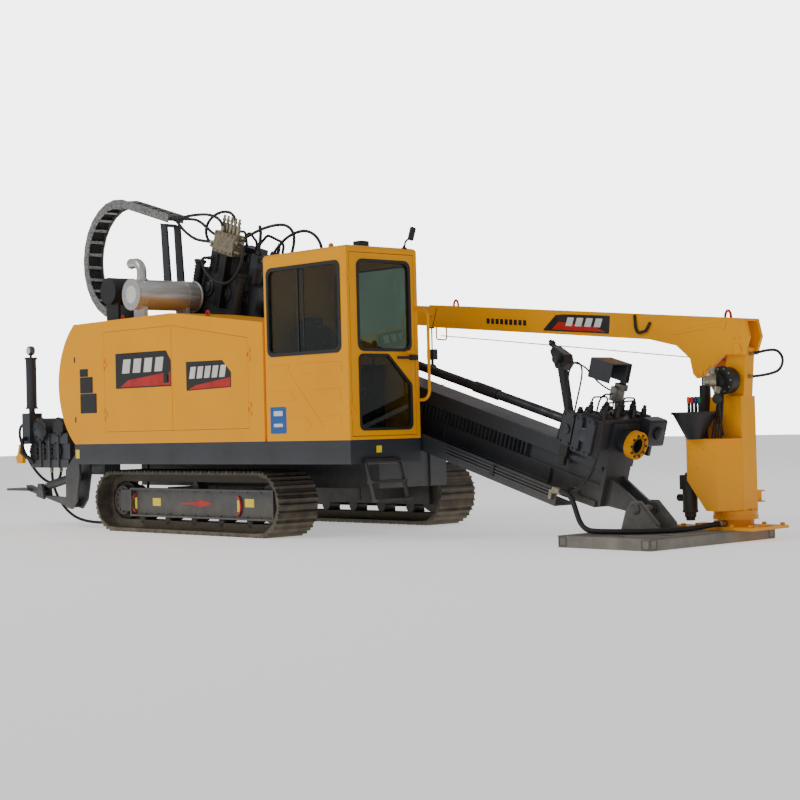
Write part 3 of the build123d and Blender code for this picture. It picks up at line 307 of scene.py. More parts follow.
def bent(corners, radius, steps=7):
    """A path of straight runs whose corners are arcs that touch both runs."""
    corners = np.asarray(corners, float)
    path = [corners[:1]]
    for before, at, after in zip(corners, corners[1:], corners[2:]):
        into, out = (before - at), (after - at)
        into, out = into / np.linalg.norm(into), out / np.linalg.norm(out)
        half = np.arccos(np.clip(into @ out, -1, 1)) / 2
        middle = (into + out) / np.linalg.norm(into + out)
        centre = at + middle * radius / np.sin(half)
        start, end = at + into * radius / np.tan(half), at + out * radius / np.tan(half)
        share = np.linspace(0, 1, steps)[:, None]
        arc = (start - centre) * (1 - share) + (end - centre) * share
        path.append(centre + arc / np.linalg.norm(arc, axis=1)[:, None] * radius)
    return np.concatenate(path + [corners[-1:]])


def copies(shape, shifts):
    """The same shape again at each shift, computed as one block of points."""
    points, faces = shape
    shifts = np.asarray(shifts, float)
    many = (points[None] + shifts[:, None]).reshape(-1, 3)
    return many, [[v + k * len(points) for v in f] for k in range(len(shifts)) for f in faces]


def bolts(places, axis, radius=11, height=8):
    """Hexagon heads with a small cone on top, standing on a face at the given places."""
    profile = [(-1, radius), (height * 0.8, radius), (height, radius * 0.86)]
    return copies(lathe(profile, (0, 0, 0), axis, 6), places)


def joined(shapes):
    """Several shapes as one: points stacked, and faces counted on."""
    points, faces, count = [], [], 0
    for p, f in shapes:
        points.append(p)
        faces += [[v + count for v in face] for face in f]
        count += len(p)
    return np.concatenate(points), faces


print("a bolt has", len(bolts([(0, 0, 0)], UP)[1]), "faces")

# %% [markdown]
# ## From arrays to pieces
# A piece gets its mesh, its finish and the body that it rides on. Real edges are never knife
# sharp, and a narrow bevel catches the light, so most pieces get one.


def piece(name, shapes, body, finish, place=GROUND, bevel=0.0, smooth=35):
    """One object from shapes in millimetres, with its place in its mesh and its origin at zero."""
    points, faces = joined(shapes)
    mesh = bpy.data.meshes.new(name)
    mesh.from_pydata((put(points, place) * MM).tolist(), [], faces)
    mesh.validate()
    mesh.shade_smooth()
    mesh.set_sharp_from_angle(angle=math.radians(smooth))
    mesh.materials.append(finish)
    obj = bpy.data.objects.new(name, mesh)
    bpy.context.collection.objects.link(obj)
    if bevel:
        edge = obj.modifiers.new("edge", "BEVEL")
        edge.width, edge.segments = bevel * MM, 2
        edge.limit_method, edge.angle_limit = "ANGLE", math.radians(40)
        edge.harden_normals = True
    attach(obj, body)
    return obj


# %% [markdown]
# ## Finishes
# Factory paint on plate steel is a thick enamel: an even colour with a faint orange peel, a soft
# gloss, and dust that gathers low down. Each finish below is named for what it is and starts from
# noise read in object space, because that stays on the metal when a piece moves.

# %% Colour and node helpers
def colour(code):
    """An sRGB hex code as linear red, green, blue and one."""
    s = np.array([int(code[k:k + 2], 16) for k in (1, 3, 5)]) / 255
    linear = np.where(s <= 0.04045, s / 12.92, ((s + 0.055) / 1.055) ** 2.4)
    return (*linear.tolist(), 1.0)


def add(tree, kind, inputs, **settings):
    """Adds a node, gives it its settings, and fills its inputs with values or links."""
    node = tree.nodes.new(kind)
    for key, value in settings.items():
        setattr(node, key, value)
    for key, value in inputs.items():
        if isinstance(value, bpy.types.NodeSocket):
            tree.links.new(value, node.inputs[key])
        else:
            node.inputs[key].default_value = value
    return node


dried_mud = "#9a8e78"


def finish(name, base, worn, rough=(0.3, 0.4), grain=400, bump=0.02, patch=3.0, dust=0.0,
           dust_top=1.2, stretch=(1, 1, 1), **fixed):
    """One colour that drifts towards a second, with fine grain, and with dust near the ground."""
    material = bpy.data.materials.new(name)
    material.use_nodes = True
    tree = material.node_tree
    shader = tree.nodes["Principled BSDF"]
    for key, value in fixed.items():
        shader.inputs[key.replace("_", " ")].default_value = value
    where = add(tree, "ShaderNodeTexCoord", {}).outputs["Object"]
    stretched = add(tree, "ShaderNodeMapping", {"Vector": where, "Scale": stretch}).outputs[0]
    wide = add(tree, "ShaderNodeTexNoise", {"Vector": stretched, "Scale": patch, "Detail": 6.0})
    fine = add(tree, "ShaderNodeTexNoise", {"Vector": stretched, "Scale": grain, "Detail": 2.0})
    drift = add(tree, "ShaderNodeMapRange", {
        "Value": wide.outputs[0], "From Min": 0.42, "From Max": 0.72}).outputs[0]
    shade = add(tree, "ShaderNodeMix", {
        "Factor": drift, "A": colour(base), "B": colour(worn)}, data_type="RGBA").outputs["Result"]
    if dust:
        height = add(tree, "ShaderNodeSeparateXYZ", {"Vector": where}).outputs["Z"]
        low = add(tree, "ShaderNodeMapRange", {
            "Value": height, "From Min": dust_top, "From Max": 0.0, "To Max": dust}).outputs[0]
        cloud = add(tree, "ShaderNodeTexNoise", {
            "Vector": where, "Scale": 9.0, "Detail": 8.0}).outputs[0]
        amount = add(tree, "ShaderNodeMath", {0: low, 1: cloud}, operation="MULTIPLY").outputs[0]
        shade = add(tree, "ShaderNodeMix", {
            "Factor": amount, "A": shade, "B": colour(dried_mud)},
            data_type="RGBA").outputs["Result"]
    gloss = add(tree, "ShaderNodeMapRange", {
        "Value": wide.outputs[0], "From Min": 0.3, "From Max": 0.7,
        "To Min": rough[0], "To Max": rough[1]}).outputs[0]
    relief = add(tree, "ShaderNodeBump", {
        "Height": fine.outputs[0], "Strength": bump, "Distance": 0.002}).outputs[0]
    tree.links.new(shade, shader.inputs["Base Color"])
    tree.links.new(gloss, shader.inputs["Roughness"])
    tree.links.new(relief, shader.inputs["Normal"])
    return material


# Yellow enamel over primed steel: warm and glossy, a little paler where it is dusty
yellow = finish("yellow_enamel", "#ffac00", "#f8a500", (0.28, 0.38), 300, 0.02, 1.6, 0.25, 0.9,
                Coat_Weight=0.05, Coat_Roughness=0.15, Specular_IOR_Level=0.2)
# Charcoal enamel of deck, mast and vises: the same paint with less gloss
charcoal = finish("charcoal_enamel", "#30343a", "#2a2d32", (0.34, 0.5), 300, 0.04, 2.2, 0.55, 0.8,
                  Coat_Weight=0.1, Coat_Roughness=0.25)
# Black enamel of castings, motors and small brackets
black = finish("black_enamel", "#1b1c1e", "#262626", (0.35, 0.55), 250, 0.06, 5.0, 0.3, 0.8)
# Rolled and forged crawler steel: dark scale, polished by the ground and dusty
forged = finish("forged_steel", "#3b3836", "#5a5046", (0.45, 0.75), 120, 0.25, 9.0, 0.9, 0.75,
                Metallic=0.55)
# Scuffed ground plate: charcoal paint worn to pale steel and dried mud
scuffed = finish("scuffed_plate", "#6b6863", "#8a857d", (0.5, 0.75), 160, 0.15, 5.0, 0.5, 0.2)
# Ground and chromed rod of a cylinder
chrome = finish("chromed_rod", "#c9ccd0", "#b8bbc0", (0.08, 0.16), 600, 0.01, 20.0, Metallic=1.0)
# Machined steel of rods, racks and bolts, with a thin oily film
machined = finish("machined_steel", "#8d8a86", "#6a6560", (0.28, 0.45), 220, 0.08, 14.0, 0.3, 0.9,
                  Metallic=1.0)
# Hot-dip galvanised plate of the energy chain: pale, with a broken spangle pattern
galvanised = finish("galvanised_plate", "#a3a29e", "#5e5e5d", (0.38, 0.6), 500, 0.1, 42.0,
                    Metallic=0.7)
# Rod and rack steel under a film of dark thread grease
greased = finish("greased_steel", "#3f4247", "#26272a", (0.3, 0.5), 220, 0.06, 9.0, Metallic=0.6)
# Zinc-yellow plated manifold and fittings
plated = finish("plated_fittings", "#a89f8a", "#857a62", (0.3, 0.45), 300, 0.08, 25.0,
                Metallic=0.75)
# Aluminised sheet of the muffler, brushed round its length
aluminised = finish("aluminised_sheet", "#d6d4d1", "#c2beb9", (0.3, 0.42), 260, 0.05, 4.0,
                    stretch=(8, 1, 8), Metallic=0.75)
# Moulded black plastic, with the fine grain of its mould
plastic = finish("moulded_plastic", "#1d1d1f", "#242426", (0.45, 0.6), 700, 0.08, 6.0)
# Extruded hose rubber: matt, with a slightly wavy skin
rubber = finish("hose_rubber", "#1e1e1f", "#2c2b2a", (0.5, 0.68), 500, 0.12, 12.0)
# Enamels and films of eyes, arrows, plates and bars: even colour, soft gloss
red = finish("red_enamel", "#c8211c", "#a81a17", (0.3, 0.42), 300, 0.03, 6.0)
white = finish("white_enamel", "#e8e6df", "#d8d5cc", (0.3, 0.42), 300, 0.03, 6.0)
blue = finish("blue_enamel", "#1d5fa8", "#1a5391", (0.3, 0.42), 300, 0.03, 6.0)
# Clear orange acrylic of the beacon, and retroreflective film with its fine cells
amber = finish("amber_lens", "#f08a10", "#e07a08", (0.1, 0.18), 300, 0.02, 8.0)
sunlit = finish("reflector_yellow", "#ffe01a", "#f5d410", (0.2, 0.3), 900, 0.1, 8.0)
# Woven seat cloth: rough, with a soft sheen. Its threads are drawn a little coarser than real
fabric = finish("seat_fabric", "#202227", "#2b2d33", (0.75, 0.9), 900, 0.5, 12.0,
                Sheen_Weight=0.4)
# Tinted safety glass: thin, dark green, and clear enough to show the seat
glass = finish("tinted_glass", "#a3b8aa", "#9aaea1", (0.02, 0.04), 50, 0.0, 2.0,
               Transmission_Weight=1.0, IOR=1.45)
print("finishes:", len(bpy.data.materials))

# %% [markdown]
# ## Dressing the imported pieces
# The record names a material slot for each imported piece. Assigning a finish to the piece's own
# slots keeps its mesh as it is, which CAD pieces need.

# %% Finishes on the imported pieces
by_slot = {
    "yellow_paint": yellow, "grey_paint": charcoal, "black_paint": black, "track_steel": forged,
    "bare_steel": machined, "cylinder_rod": chrome, "zinc_plate": galvanised,
    "beige_metal": plated, "engine_block": black, "muffler_shell": aluminised,
    "window_glass": glass, "seat_fabric": fabric, "trim_plastic": plastic,
}
own_finish = {
    "drill_rod": greased, "spindle": greased, "mast_racks": greased, "winch": black,
    "crane_base": yellow, "anchor_plate": scuffed, "guide_ring": yellow,
}
slot_of = {row["node"]: row["material_slot"] for row in frame["record"]["subparts"]}
for name, obj in nodes.items():
    material = own_finish.get(name, by_slot[slot_of[name]])
    if not obj.material_slots:
        obj.data.materials.append(material)
    for entry in obj.material_slots:
        entry.material = material
print("dressed", len(nodes))
for hose_object in hoses.values():
    hose_object.data.materials.append(rubber)

# %% [markdown]
# ## Window seals
# Cab glass sits in a black rubber section that grips the pane on one side and the sheet metal on
# the other. From outside it shows as an even dark frame with rounded corners, a little proud of the
# paint. The same outline drawn at two sizes and joined through the thickness gives that section.

# %% Window seals
def box_outline(x0, x1, z0, z1):
    """Four corners of an upright rectangle, counted round."""
    return [(x0, z0), (x1, z0), (x1, z1), (x0, z1)]


def leaning(x, z, width, height, lean):
    """Four corners of a bar whose top is shifted along by its lean."""
    return [(x, z), (x + width, z), (x + width + lean, z + height), (x + lean, z + height)]


def softened(corners, radius, steps=6):
    """A closed outline whose corners are arcs: a bent path that starts and ends in mid-edge."""
    corners = np.asarray(corners, float)
    start = (corners[-1] + corners[0]) / 2
    return bent([start, *corners, start], radius, steps)[:-1]


def seal(corners, radius, width, near, far, axis):
    """A rubber frame: the outline grown and shrunk about its middle, joined near and far."""
    inner = softened(corners, radius)
    middle = (inner.max(0) + inner.min(0)) / 2
    half = (inner.max(0) - inner.min(0)) / 2
    outer = middle + (inner - middle) * (half + width) / half
    inner = middle + (inner - middle) * (half - 12) / half
    rings = []
    for flat, level in ((outer, near), (inner, near), (inner, far), (outer, far)):
        u, v, w = flat[:, 0], flat[:, 1], np.full(len(flat), float(level))
        rings.append(np.stack({"x": (w, u, v), "y": (u, w, v)}[axis], -1))
    return skin(np.stack(rings), closed=True)


side_pane = box_outline(-3499, -2507, 1677, 2447)
piece("side_window_seals", [
    seal(side_pane, 62, 20, -1269, -1232, "y"),
    seal(side_pane, 62, 20, -418, -455, "y"),
    # Meeting bars of the two sliding panes
    block(-3096, -3076, -1254, -1236, 1680, 2444),
    block(-3018, -3004, -1250, -1238, 1680, 2444),
], "chassis", plastic, bevel=3)
upper_pane = box_outline(-1134, -525, 1680, 2458)
lower_pane = [(-1134, 982), (-525, 982), (-525, 1372), (-792, 1632), (-1134, 1632)]
piece("door_window_seals", [
    seal(upper_pane, 66, 16, -2393, -2428, "x"),
    seal(lower_pane, 50, 12, -2393, -2428, "x"),
], "cab_door", plastic, bevel=3)
print("seals done")

# %% [markdown]
# ## Cab panels and fittings
# The panel under the side window is pressed sheet: shallow recesses keep a large flat area from
# drumming. The door has a skin over its frame, which also covers the corner beside the lever.

# %% Cab panels
pressings = [
    [(-3496, 1582), (-3214, 1581), (-3242, 1488), (-3492, 1493)],
    [(-3497, 1348), (-3215, 1350), (-3130, 1247), (-3501, 1246)],
    [(-3217, 1104), (-2973, 1104), (-2900, 1008), (-3213, 1008)],
    [(-3111, 1583), (-2499, 1580), (-2490, 1487), (-3044, 1492)],
    [(-2879, 1342), (-2508, 1347), (-2512, 1245), (-2806, 1251)],
    [(-2750, 1107), (-2517, 1107), (-2506, 1008), (-2686, 1008)],
    [(-3226, 1491), (-3196, 1491), (-2742, 1010), (-2772, 1010)],
]
piece("side_pressings", [prism(softened(p, 10, 3), -1266, -1258, "y") for p in pressings],
      "chassis", yellow, bevel=3)
piece("door_corner_skin", [
    prism(softened([(-812, 1650), (-517, 1650), (-517, 1362)], 8, 3), -2413, -2399, "x"),
], "cab_door", yellow, bevel=1)
piece("door_lever", [
    prism(softened(box_outline(-702, -500, 1598, 1622), 9, 4), -2384, -2366, "x"),
    prism(softened(box_outline(-545, -462, 1588, 1634), 14, 4), -2401, -2362, "x"),
], "cab_door", plastic, bevel=3)
badge = [(-3498, 1201), (-3270, 1201), (-3270, 960), (-3498, 960)]
piece("blue_panel", [prism(softened(badge, 16, 4), -1264.5, -1261, "y")],
      "chassis", blue)
badge_bars = box_outline(-3448, -3320, 1020, 1050), box_outline(-3448, -3320, 1120, 1165)
piece("blue_panel_bars", [prism(softened(b, 9, 4), -1266, -1264, "y") for b in badge_bars],
      "chassis", white)
print("cab panels:", len(pressings))

# %% [markdown]
# ## On the cab roof
# An amber beacon, a black aerial foot and a mirror on a jointed arm stand on the roof, each bolted
# through the sheet with its own rubber pad.

# %% Cab roof
dome = [(0, 30), (6, 30), (8, 24), (30, 24), (42, 20), (50, 12), (53, 1)]
piece("beacon", [lathe(dome, (-2760, -1120, 2590), UP)], "chassis", amber)
piece("aerial_foot", [
    prism(softened(box_outline(-2560, -2450, -1050, -930), 26, 5), 2590, 2640, "z"),
], "chassis", plastic, bevel=8)
piece("mirror_arm", [
    lathe([(0, 26), (10, 26), (12, 14), (30, 12)], (-2425, -545, 2588), UP, 16),
    tube(bent([(-2425, -545, 2595), (-2425, -530, 2650), (-2412, -490, 2690)], 15), 9),
    prism(softened([(-508, 2672), (-452, 2660), (-412, 2778), (-466, 2792)], 10, 4),
          -2425, -2400, "x"),
], "chassis", plastic, bevel=3)
print("roof done")

# %% [markdown]
# ## The driver's seat
# A suspension seat has a deep foam cushion and back in woven cloth, crowned in the middle and drawn
# in at its seams. A superellipse solid has those full faces and tight corners: each coordinate is
# the sign and a small power of a sine or cosine.

# %% Driver's seat
def cushion(low, high, lean=0.0, power=0.35, rows=20, columns=32):
    """x = a c(v)c(u), y = b c(v)s(u), z = c s(v), with c and s raised to a power, then leaned."""
    middle, half = (np.add(low, high)) / 2, (np.subtract(high, low)) / 2
    v = np.linspace(-np.pi / 2, np.pi / 2, rows)[:, None]
    u = np.linspace(0, 2 * np.pi, columns, endpoint=False)[None]
    bow = lambda t: np.sign(t) * np.abs(t) ** power
    unit = np.stack([bow(np.cos(v)) * bow(np.cos(u)), bow(np.cos(v)) * bow(np.sin(u)),
                     bow(np.sin(v)) * np.ones_like(u)], -1)
    points = middle + unit * half
    points[..., 0] -= lean * (points[..., 2] - low[2])
    return skin(points)


seat = piece("driver_seat", [
    cushion((-3330, -1080, 1235), (-2850, -620, 1372)),
    cushion((-3322, -1060, 1362), (-3200, -640, 1950), lean=0.16),
    cushion((-3412, -960, 1930), (-3330, -740, 2022)),
], "chassis", fabric, smooth=80)
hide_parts("operator_seat")
piece("seat_base", [
    block(-3260, -2900, -1010, -690, 942, 1238),
    *[block(-3265, -2895, -1015, -685, z, z + 18) for z in (1000, 1060, 1120, 1180)],
], "chassis", plastic, bevel=6)
knob = [(0, 12), (20, 24), (60, 27), (90, 20), (100, 4)]
piece("joystick_knobs", [
    lathe(knob, (-2862, y, 1690), (0.1, 0, 1), 18) for y in (-1147, -547)
] + [block(-3200, -2900, y - 50, y + 50, 1556, 1575) for y in (-1147, -547)],
    "chassis", plastic, bevel=4)
print("seat done")

# %% [markdown]
# ## Hood
# The hood's doors carry bare decal plates with a diagonal stripe, a flush paddle latch and dark
# vent plates. Red lifting eyes are screwed into the roof, and the muffler has rolled end rings.

# %% Hood fittings
side_wall = -1262


def flat_plates(outlines, out, thick, radius=6, wall=side_wall):
    """Thin plates on a wall of the near side, from outlines in x and z, standing out a little."""
    return [prism(softened(o, radius, 3), wall - out, wall - out + thick, "y") for o in outlines]


piece("rear_door_plate", flat_plates(
    [[(-6010, 1449), (-5042, 1447), (-5042, 1700), (-5120, 1800), (-6006, 1805)]], 2, 3),
    "hood_door_rear", black)
piece("rear_door_stripe", flat_plates(
    [[(-5930, 1462), (-5050, 1460), (-5050, 1590), (-5780, 1530)]], 3, 2, 3),
    "hood_door_rear", red)
piece("rear_door_bars", flat_plates(
    [leaning(-5890 + 190 * k, 1600, 130, 140, 30) for k in range(4)], 4, 2, 4),
    "hood_door_rear", white)
piece("front_door_plate", flat_plates(
    [[(-4789, 1392), (-4079, 1406), (-4077, 1547), (-4212, 1665), (-4789, 1671)]], 2, 3),
    "hood_door_front", black)
piece("front_door_stripe", flat_plates(
    [[(-4760, 1402), (-4090, 1414), (-4088, 1500), (-4640, 1440)]], 3, 2, 3),
    "hood_door_front", red)
piece("front_door_bars", flat_plates(
    [[(x, 1505), (x + 85, 1507), (x + 115, 1620), (x + 30, 1618)]
     for x in range(-4740, -4140, 120)], 4, 2, 4),
    "hood_door_front", white)
piece("paddle_latch", flat_plates([box_outline(-5170, -5075, 1480, 1600)], 4, 6, 12)
      + flat_plates([box_outline(-5152, -5093, 1496, 1560)], 12, 10, 8),
      "hood_door_rear", plastic, bevel=2)
piece("vent_plates", flat_plates([
    box_outline(-6680, -6528, 1594, 1674), box_outline(-6680, -6440, 1421, 1588),
    box_outline(-6679, -6373, 1212, 1415),
], 3, 4) + flat_plates([
    box_outline(-6660, -6548, 1606 + 20 * k, 1614 + 20 * k) for k in range(3)] + [
    box_outline(-6660, -6460, 1440 + 24 * k, 1450 + 24 * k) for k in range(6)] + [
    box_outline(-6655, -6395, 1236 + 26 * k, 1247 + 26 * k) for k in range(6)], 6, 5, 2),
    "chassis", black)
piece("slot_covers", flat_plates([
    box_outline(-6788, -6768, 1748, 1806), box_outline(-6788, -6768, 1120, 1178)], 3, 4, 4),
    "chassis", black)
piece("side_reflector", flat_plates([box_outline(-6792, -6722, 744, 834)], 3, 4),
      "chassis", sunlit)
piece("front_reflector", [
    prism(softened(box_outline(-962, -900, 776, 836), 5, 3), -2402, -2397, "x"),
], "chassis", sunlit)


def half_ring(x, y, z, wide, high):
    """Half an ellipse that stands up: x plus wide times cosine, z plus high times sine."""
    turn = np.linspace(0, np.pi, 13)
    return np.stack([x + wide * np.cos(turn), np.full(13, float(y)), z + high * np.sin(turn)], -1)


piece("lifting_eyes", [
    tube(half_ring(x, -1190, z, 26, 44), 8) for x, z in ((-5966, 2150), (-4515, 2108))
] + [lathe([(0, 24), (8, 24), (10, 18), (12, 1)], (x, -1190, z), UP, 16)
     for x, z in ((-5966, 2148), (-4515, 2104))],
    "chassis", red)
rim = [(0, 150), (0, 161), (9, 163), (16, 160), (18, 155)]
piece("muffler_rims", [
    lathe(rim, (-5800, -1197, 2400), FAR, 48),
    lathe(rim, (-5800, -408, 2400), NEAR, 48),
    lathe([(0, 62), (10, 64), (14, 54), (22, 52)], (-5800, -1060, 2548), UP, 28),
    lathe([(0, 52), (12, 55), (16, 50)], (-5992, -1060, 2730), (1, 0, 0), 28),
] + [lathe([(0, 155), (0, 158), (20, 158), (20, 155)], (-5800, y, 2400), FAR, 48)
     for y in (-1092, -572)], "chassis", aluminised)
piece("muffler_end", [lathe([(0, 1), (0, 60), (2, 120), (6, 150), (10, 150)], (-5800, -1198, 2400),
                            (0, 1, 0), 48)], "chassis", white)
piece("exhaust_mouth", [lathe([(0, 1), (0, 45), (2, 45)], (-5991.5, -1060, 2730), (1, 0, 0), 28)],
      "chassis", black)
print("hood done")

# %% [markdown]
# ## Crawler guards
# The guard plate beside the rollers carries painted marks and two red towing loops, and two rows
# of bolts hold it. Each roller has a turned cap that shows under the guard. Both crawlers get the
# same, so a shape is made for the near side and mirrored.

# %% Crawler guards
def on_both_sides(shape):
    """A shape on the near side, and its mirror image on the far side with its faces turned."""
    points, faces = shape
    return [(points, faces), (points * (1, -1, 1), [f[::-1] for f in faces])]


def guard_plates(outlines, out, thick, radius=4):
    """Thin plates on the guards of both crawlers."""
    return [s for plate in flat_plates(outlines, out, thick, radius, -1202)
            for s in on_both_sides(plate)]


piece("guard_arrows", guard_plates([[
    (-5095, 294), (-4720, 286), (-4720, 264), (-4473, 302), (-4720, 338), (-4720, 318)]], 2, 3, 2),
    "chassis", red)
piece("guard_squares", guard_plates([
    box_outline(-5487, -5351, 267, 344), box_outline(-3987, -3851, 280, 357)], 2, 3),
    "chassis", sunlit)
loop_turn = np.linspace(-np.pi / 2, np.pi / 2, 13)
loop_shape = np.stack([52 * np.cos(loop_turn), 0 * loop_turn, 88 * np.sin(loop_turn)], -1)
piece("towing_loops", [
    s for x, swing in ((-5775, -1), (-4090, 1))
    for s in on_both_sides(tube(loop_shape * (swing, 1, 1) + (x, -1214, 288), 10, 10))],
    "chassis", red)
piece("towing_plates", guard_plates([
    box_outline(-5800, -5765, 232, 344), box_outline(-4105, -4070, 232, 344)], 3, 4),
    "chassis", sunlit)
hub_bolts = circle(12, 112, (-6140, -1125.5, 310))
hub_cap = [(0, 82), (10, 82), (14, 70), (14, 1)]
piece("final_drive_bolts", [
    s for part in (bolts(hub_bolts, NEAR, 13, 12), lathe(hub_cap, (-6140, -1120, 310), NEAR, 32))
    for s in on_both_sides(part)],
    "chassis", charcoal)
cap = [(0, 40), (0, 46), (10, 46), (14, 38), (14, 1)]
roller_x = -6140 + 330 + np.arange(5) * (2430 - 660) / 4
piece("roller_caps", [
    s for x in roller_x for s in on_both_sides(lathe(cap, (x, -1102, 126), NEAR, 20))],
    "chassis", black)
guard_bolts = [(x, -1203, z) for x in np.linspace(-5815, -3540, 12) for z in (186, 420)]
piece("guard_bolts", on_both_sides(bolts(guard_bolts, NEAR, 10, 8)),
      "chassis", charcoal)
print("crawler guards done")

# %% [markdown]
# ## Energy chain
# The chain of steel links carries the head's hoses and bends with them. Inside it they lie side by
# side, so from below the links look filled with black. The line of the chain is a straight run, a
# half circle of radius 619 mm and a second straight run.

# %% Energy chain
half_turn = np.array([-7331, 0, 48])  # middle of the chain's half circle
bend, pitch = 619, 149  # its radius, and the length of a link
chain_top, chain_foot = half_turn[2] + bend, half_turn[2] - bend


def round_chain(turn, y):
    """Points of the half circle: its middle plus the radius times cosine and sine."""
    flat = np.stack([np.cos(turn), 0 * turn, np.sin(turn)], -1)
    return half_turn + flat * bend + (0, y, 0)


arc = np.linspace(np.pi / 2, 3 * np.pi / 2, 49)
piece("carried_hoses", [
    tube([(-6560, y, chain_top), *round_chain(arc, y), (-4680, y, chain_foot)], 11.5, 8)
    for y in np.linspace(-371, -213, 7)
], "mast", rubber, MAST)
link_side = -396
pins = [
    *round_chain(np.pi / 2 + (np.arange(1, 13) * pitch + 30) / bend, link_side),
    *[(-6560 - pitch * k, link_side, chain_top) for k in range(5)],
    *[(-7250 + pitch * k, link_side, chain_foot) for k in range(17)],
]
pin = lathe([(-1, 17), (3, 17), (5, 13), (5, 1)], (0, 0, 0), NEAR, 12)
piece("link_pins", [copies(pin, pins)],
      "mast", galvanised, MAST)
print("chain pins:", len(pins))

# %% [markdown]
# ## Rotary head
# Each hydraulic motor is a cast body with cooling ribs and a bolted flange. Hoses end in swaged
# steel sleeves with a hexagon nut, a fitting for each end, and short elbows stand on the manifold.

# %% Rotary head
def ribs(origin, axis, radius, start, end, count, height=7):
    """Thin rings in a row round a body, such as cooling ribs or the bands of a casting."""
    places = np.linspace(start, end, count)
    axis = np.asarray(axis, float)
    low, high = radius - 2, radius + height
    ring = lathe([(-4, low), (-4, high), (4, high), (4, low)], origin, axis, 28)
    return copies(ring, places[:, None] * axis)


motors = [(u, y) for u in (-5900, -5220) for y in (-95, 95)]
motor_top = [(0, 40), (26, 40), (30, 34), (44, 30)]
flange_bolts = np.concatenate([circle(6, 84, (u, y, 231), (0, 1), 0.4) for u, y in motors])
piece("motor_ribs", [ribs((u, y, 0), UP, 72, 250, 385, 8) for u, y in motors]
      + [bolts(flange_bolts, UP, 10, 9)]
      + [lathe(motor_top, (u, y, 539), UP, 20) for u, y in motors],
    "carriage", black, MAST, bevel=1.5)
cover = [(0, 96), (14, 96), (18, 88), (18, 60), (30, 56), (34, 48), (34, 1)]
covers_at = (-5860, -5560, -5260)
cover_bolts = np.concatenate([circle(8, 80, (u, -200, 60)) for u in covers_at])
piece("gear_covers", [lathe(cover, (u, -184, 60), NEAR, 36) for u in covers_at]
      + [bolts(cover_bolts, NEAR, 9, 8)], "carriage", charcoal, MAST, bevel=1)
drives = [(u, y) for u in (-5970, -5230) for y in (-262.3, 262.3)]
drive_top = [(0, 62), (10, 66), (22, 66), (30, 56), (30, 1)]
piece("drive_ribs", [ribs((u, y, 0), UP, 48, 20, 290, 9, 9) for u, y in drives]
      + [lathe(drive_top, (u, y, 300), UP, 28) for u, y in drives],
      "carriage", black, MAST, bevel=1.5)
piece("manifold_foot", [
    block(-5646, -5534, -266, -184, -92, 468), block(-5700, -5480, -292, -148, 452, 474),
], "carriage", black, MAST, bevel=4)
stem = [(0, 15), (18, 15), (20, 19), (44, 19), (46, 14), (80, 14)]
piece("manifold_stems", [lathe(stem, (-5720 + 65 * k, -220, 778), UP, 12) for k in range(5)]
      + [lathe(stem, (-5760, -180 - 40 * k, 510 + 50 * (k % 2)), (-1, 0, 0), 12) for k in range(3)]
      + [lathe(stem, (-5420, -180 - 40 * k, 520 + 60 * (k % 2)), (1, 0, 0), 12) for k in range(3)]
      + [bolts([(-5740 + 70 * k, -291, w) for k in range(5) for w in (490, 670)], NEAR, 11, 9)],
      "carriage", plated, MAST, bevel=1)
horns = [[(-5240, -90, 560), (-5245, -88, 690), (-5262, -85, 770), (-5300, -80, 830)],
         [(-5040, 0, 225), (-5035, 0, 560), (-5030, 0, 640), (-5040, 0, 700)]]
elbows = [
    [(-5960, 95, 470), (-6040, 95, 470), (-6040, 95, 640), (-5700, 60, 700), (-5640, 60, 560)],
    [(-5160, 95, 470), (-5080, 95, 480), (-5080, 95, 700), (-5300, 40, 740), (-5420, 40, 600)],
    [(-5560, -60, 228), (-5560, -60, 640), (-5460, -120, 640)],
    [(-5720, 60, 228), (-5720, 60, 560), (-5560, 0, 720), (-5400, 0, 640), (-5400, 0, 228)],
]
piece("pipe_elbows", [
    *[tube(bent(path, 40), 17) for path in horns], *[tube(bent(path, 60), 15) for path in elbows],
], "carriage", rubber, MAST)
piece("head_castings", [
    block(-5790, -5330, -60, 150, 228, 420), block(-5700, -5420, 0, 180, 400, 560),
    block(-6060, -5040, -150, 150, 226, 246),
    *[lathe([(0, 30), (60, 30), (64, 24), (90, 22)], (u, y, 418), UP, 16)
      for u in (-5740, -5600, -5460) for y in (-20, 90)],
], "carriage", black, MAST, bevel=6)
print("head done")

# %% [markdown]
# ## Hose fittings
# The swaged sleeve is longer than the hose is thick, and the nut behind it is a hexagon, so every
# hose end reads as a fitting. The sleeves follow the ends of the hoses' own splines.

# %% Hose fittings
def fitting(curve, start):
    """A sleeve and a nut round one end of a hose, along its first or last control points."""
    spline = curve.data.splines[0]
    points = np.empty(len(spline.points) * 4)
    spline.points.foreach_get("co", points)
    points = points.reshape(-1, 4)[:, :3] / MM
    end, beside = (points[0], points[1]) if start else (points[-1], points[-2])
    axis = (beside - end) / np.linalg.norm(beside - end)
    r = spline.points[0].radius / MM
    # Lengths and radii as shares of the hose's own radius
    sleeve = np.array([(1, 1.02), (1, 1.32), (3.4, 1.32), (3.7, 1.02)]) * r
    nut = np.array([(0, 0.8), (0, 1.5), (0.95, 1.5), (0.95, 0.8)]) * r
    return [lathe(sleeve, end, axis, 18), lathe(nut, end, axis, 6)]


for body in sorted(set(hose_body.values())):
    ends = [s for name, obj in hoses.items() if hose_body[name] == body for start in (True, False)
            for s in fitting(obj, start)]
    piece(f"fittings_{body}", ends, body, plated, bevel=0.6)
print("fittings done")

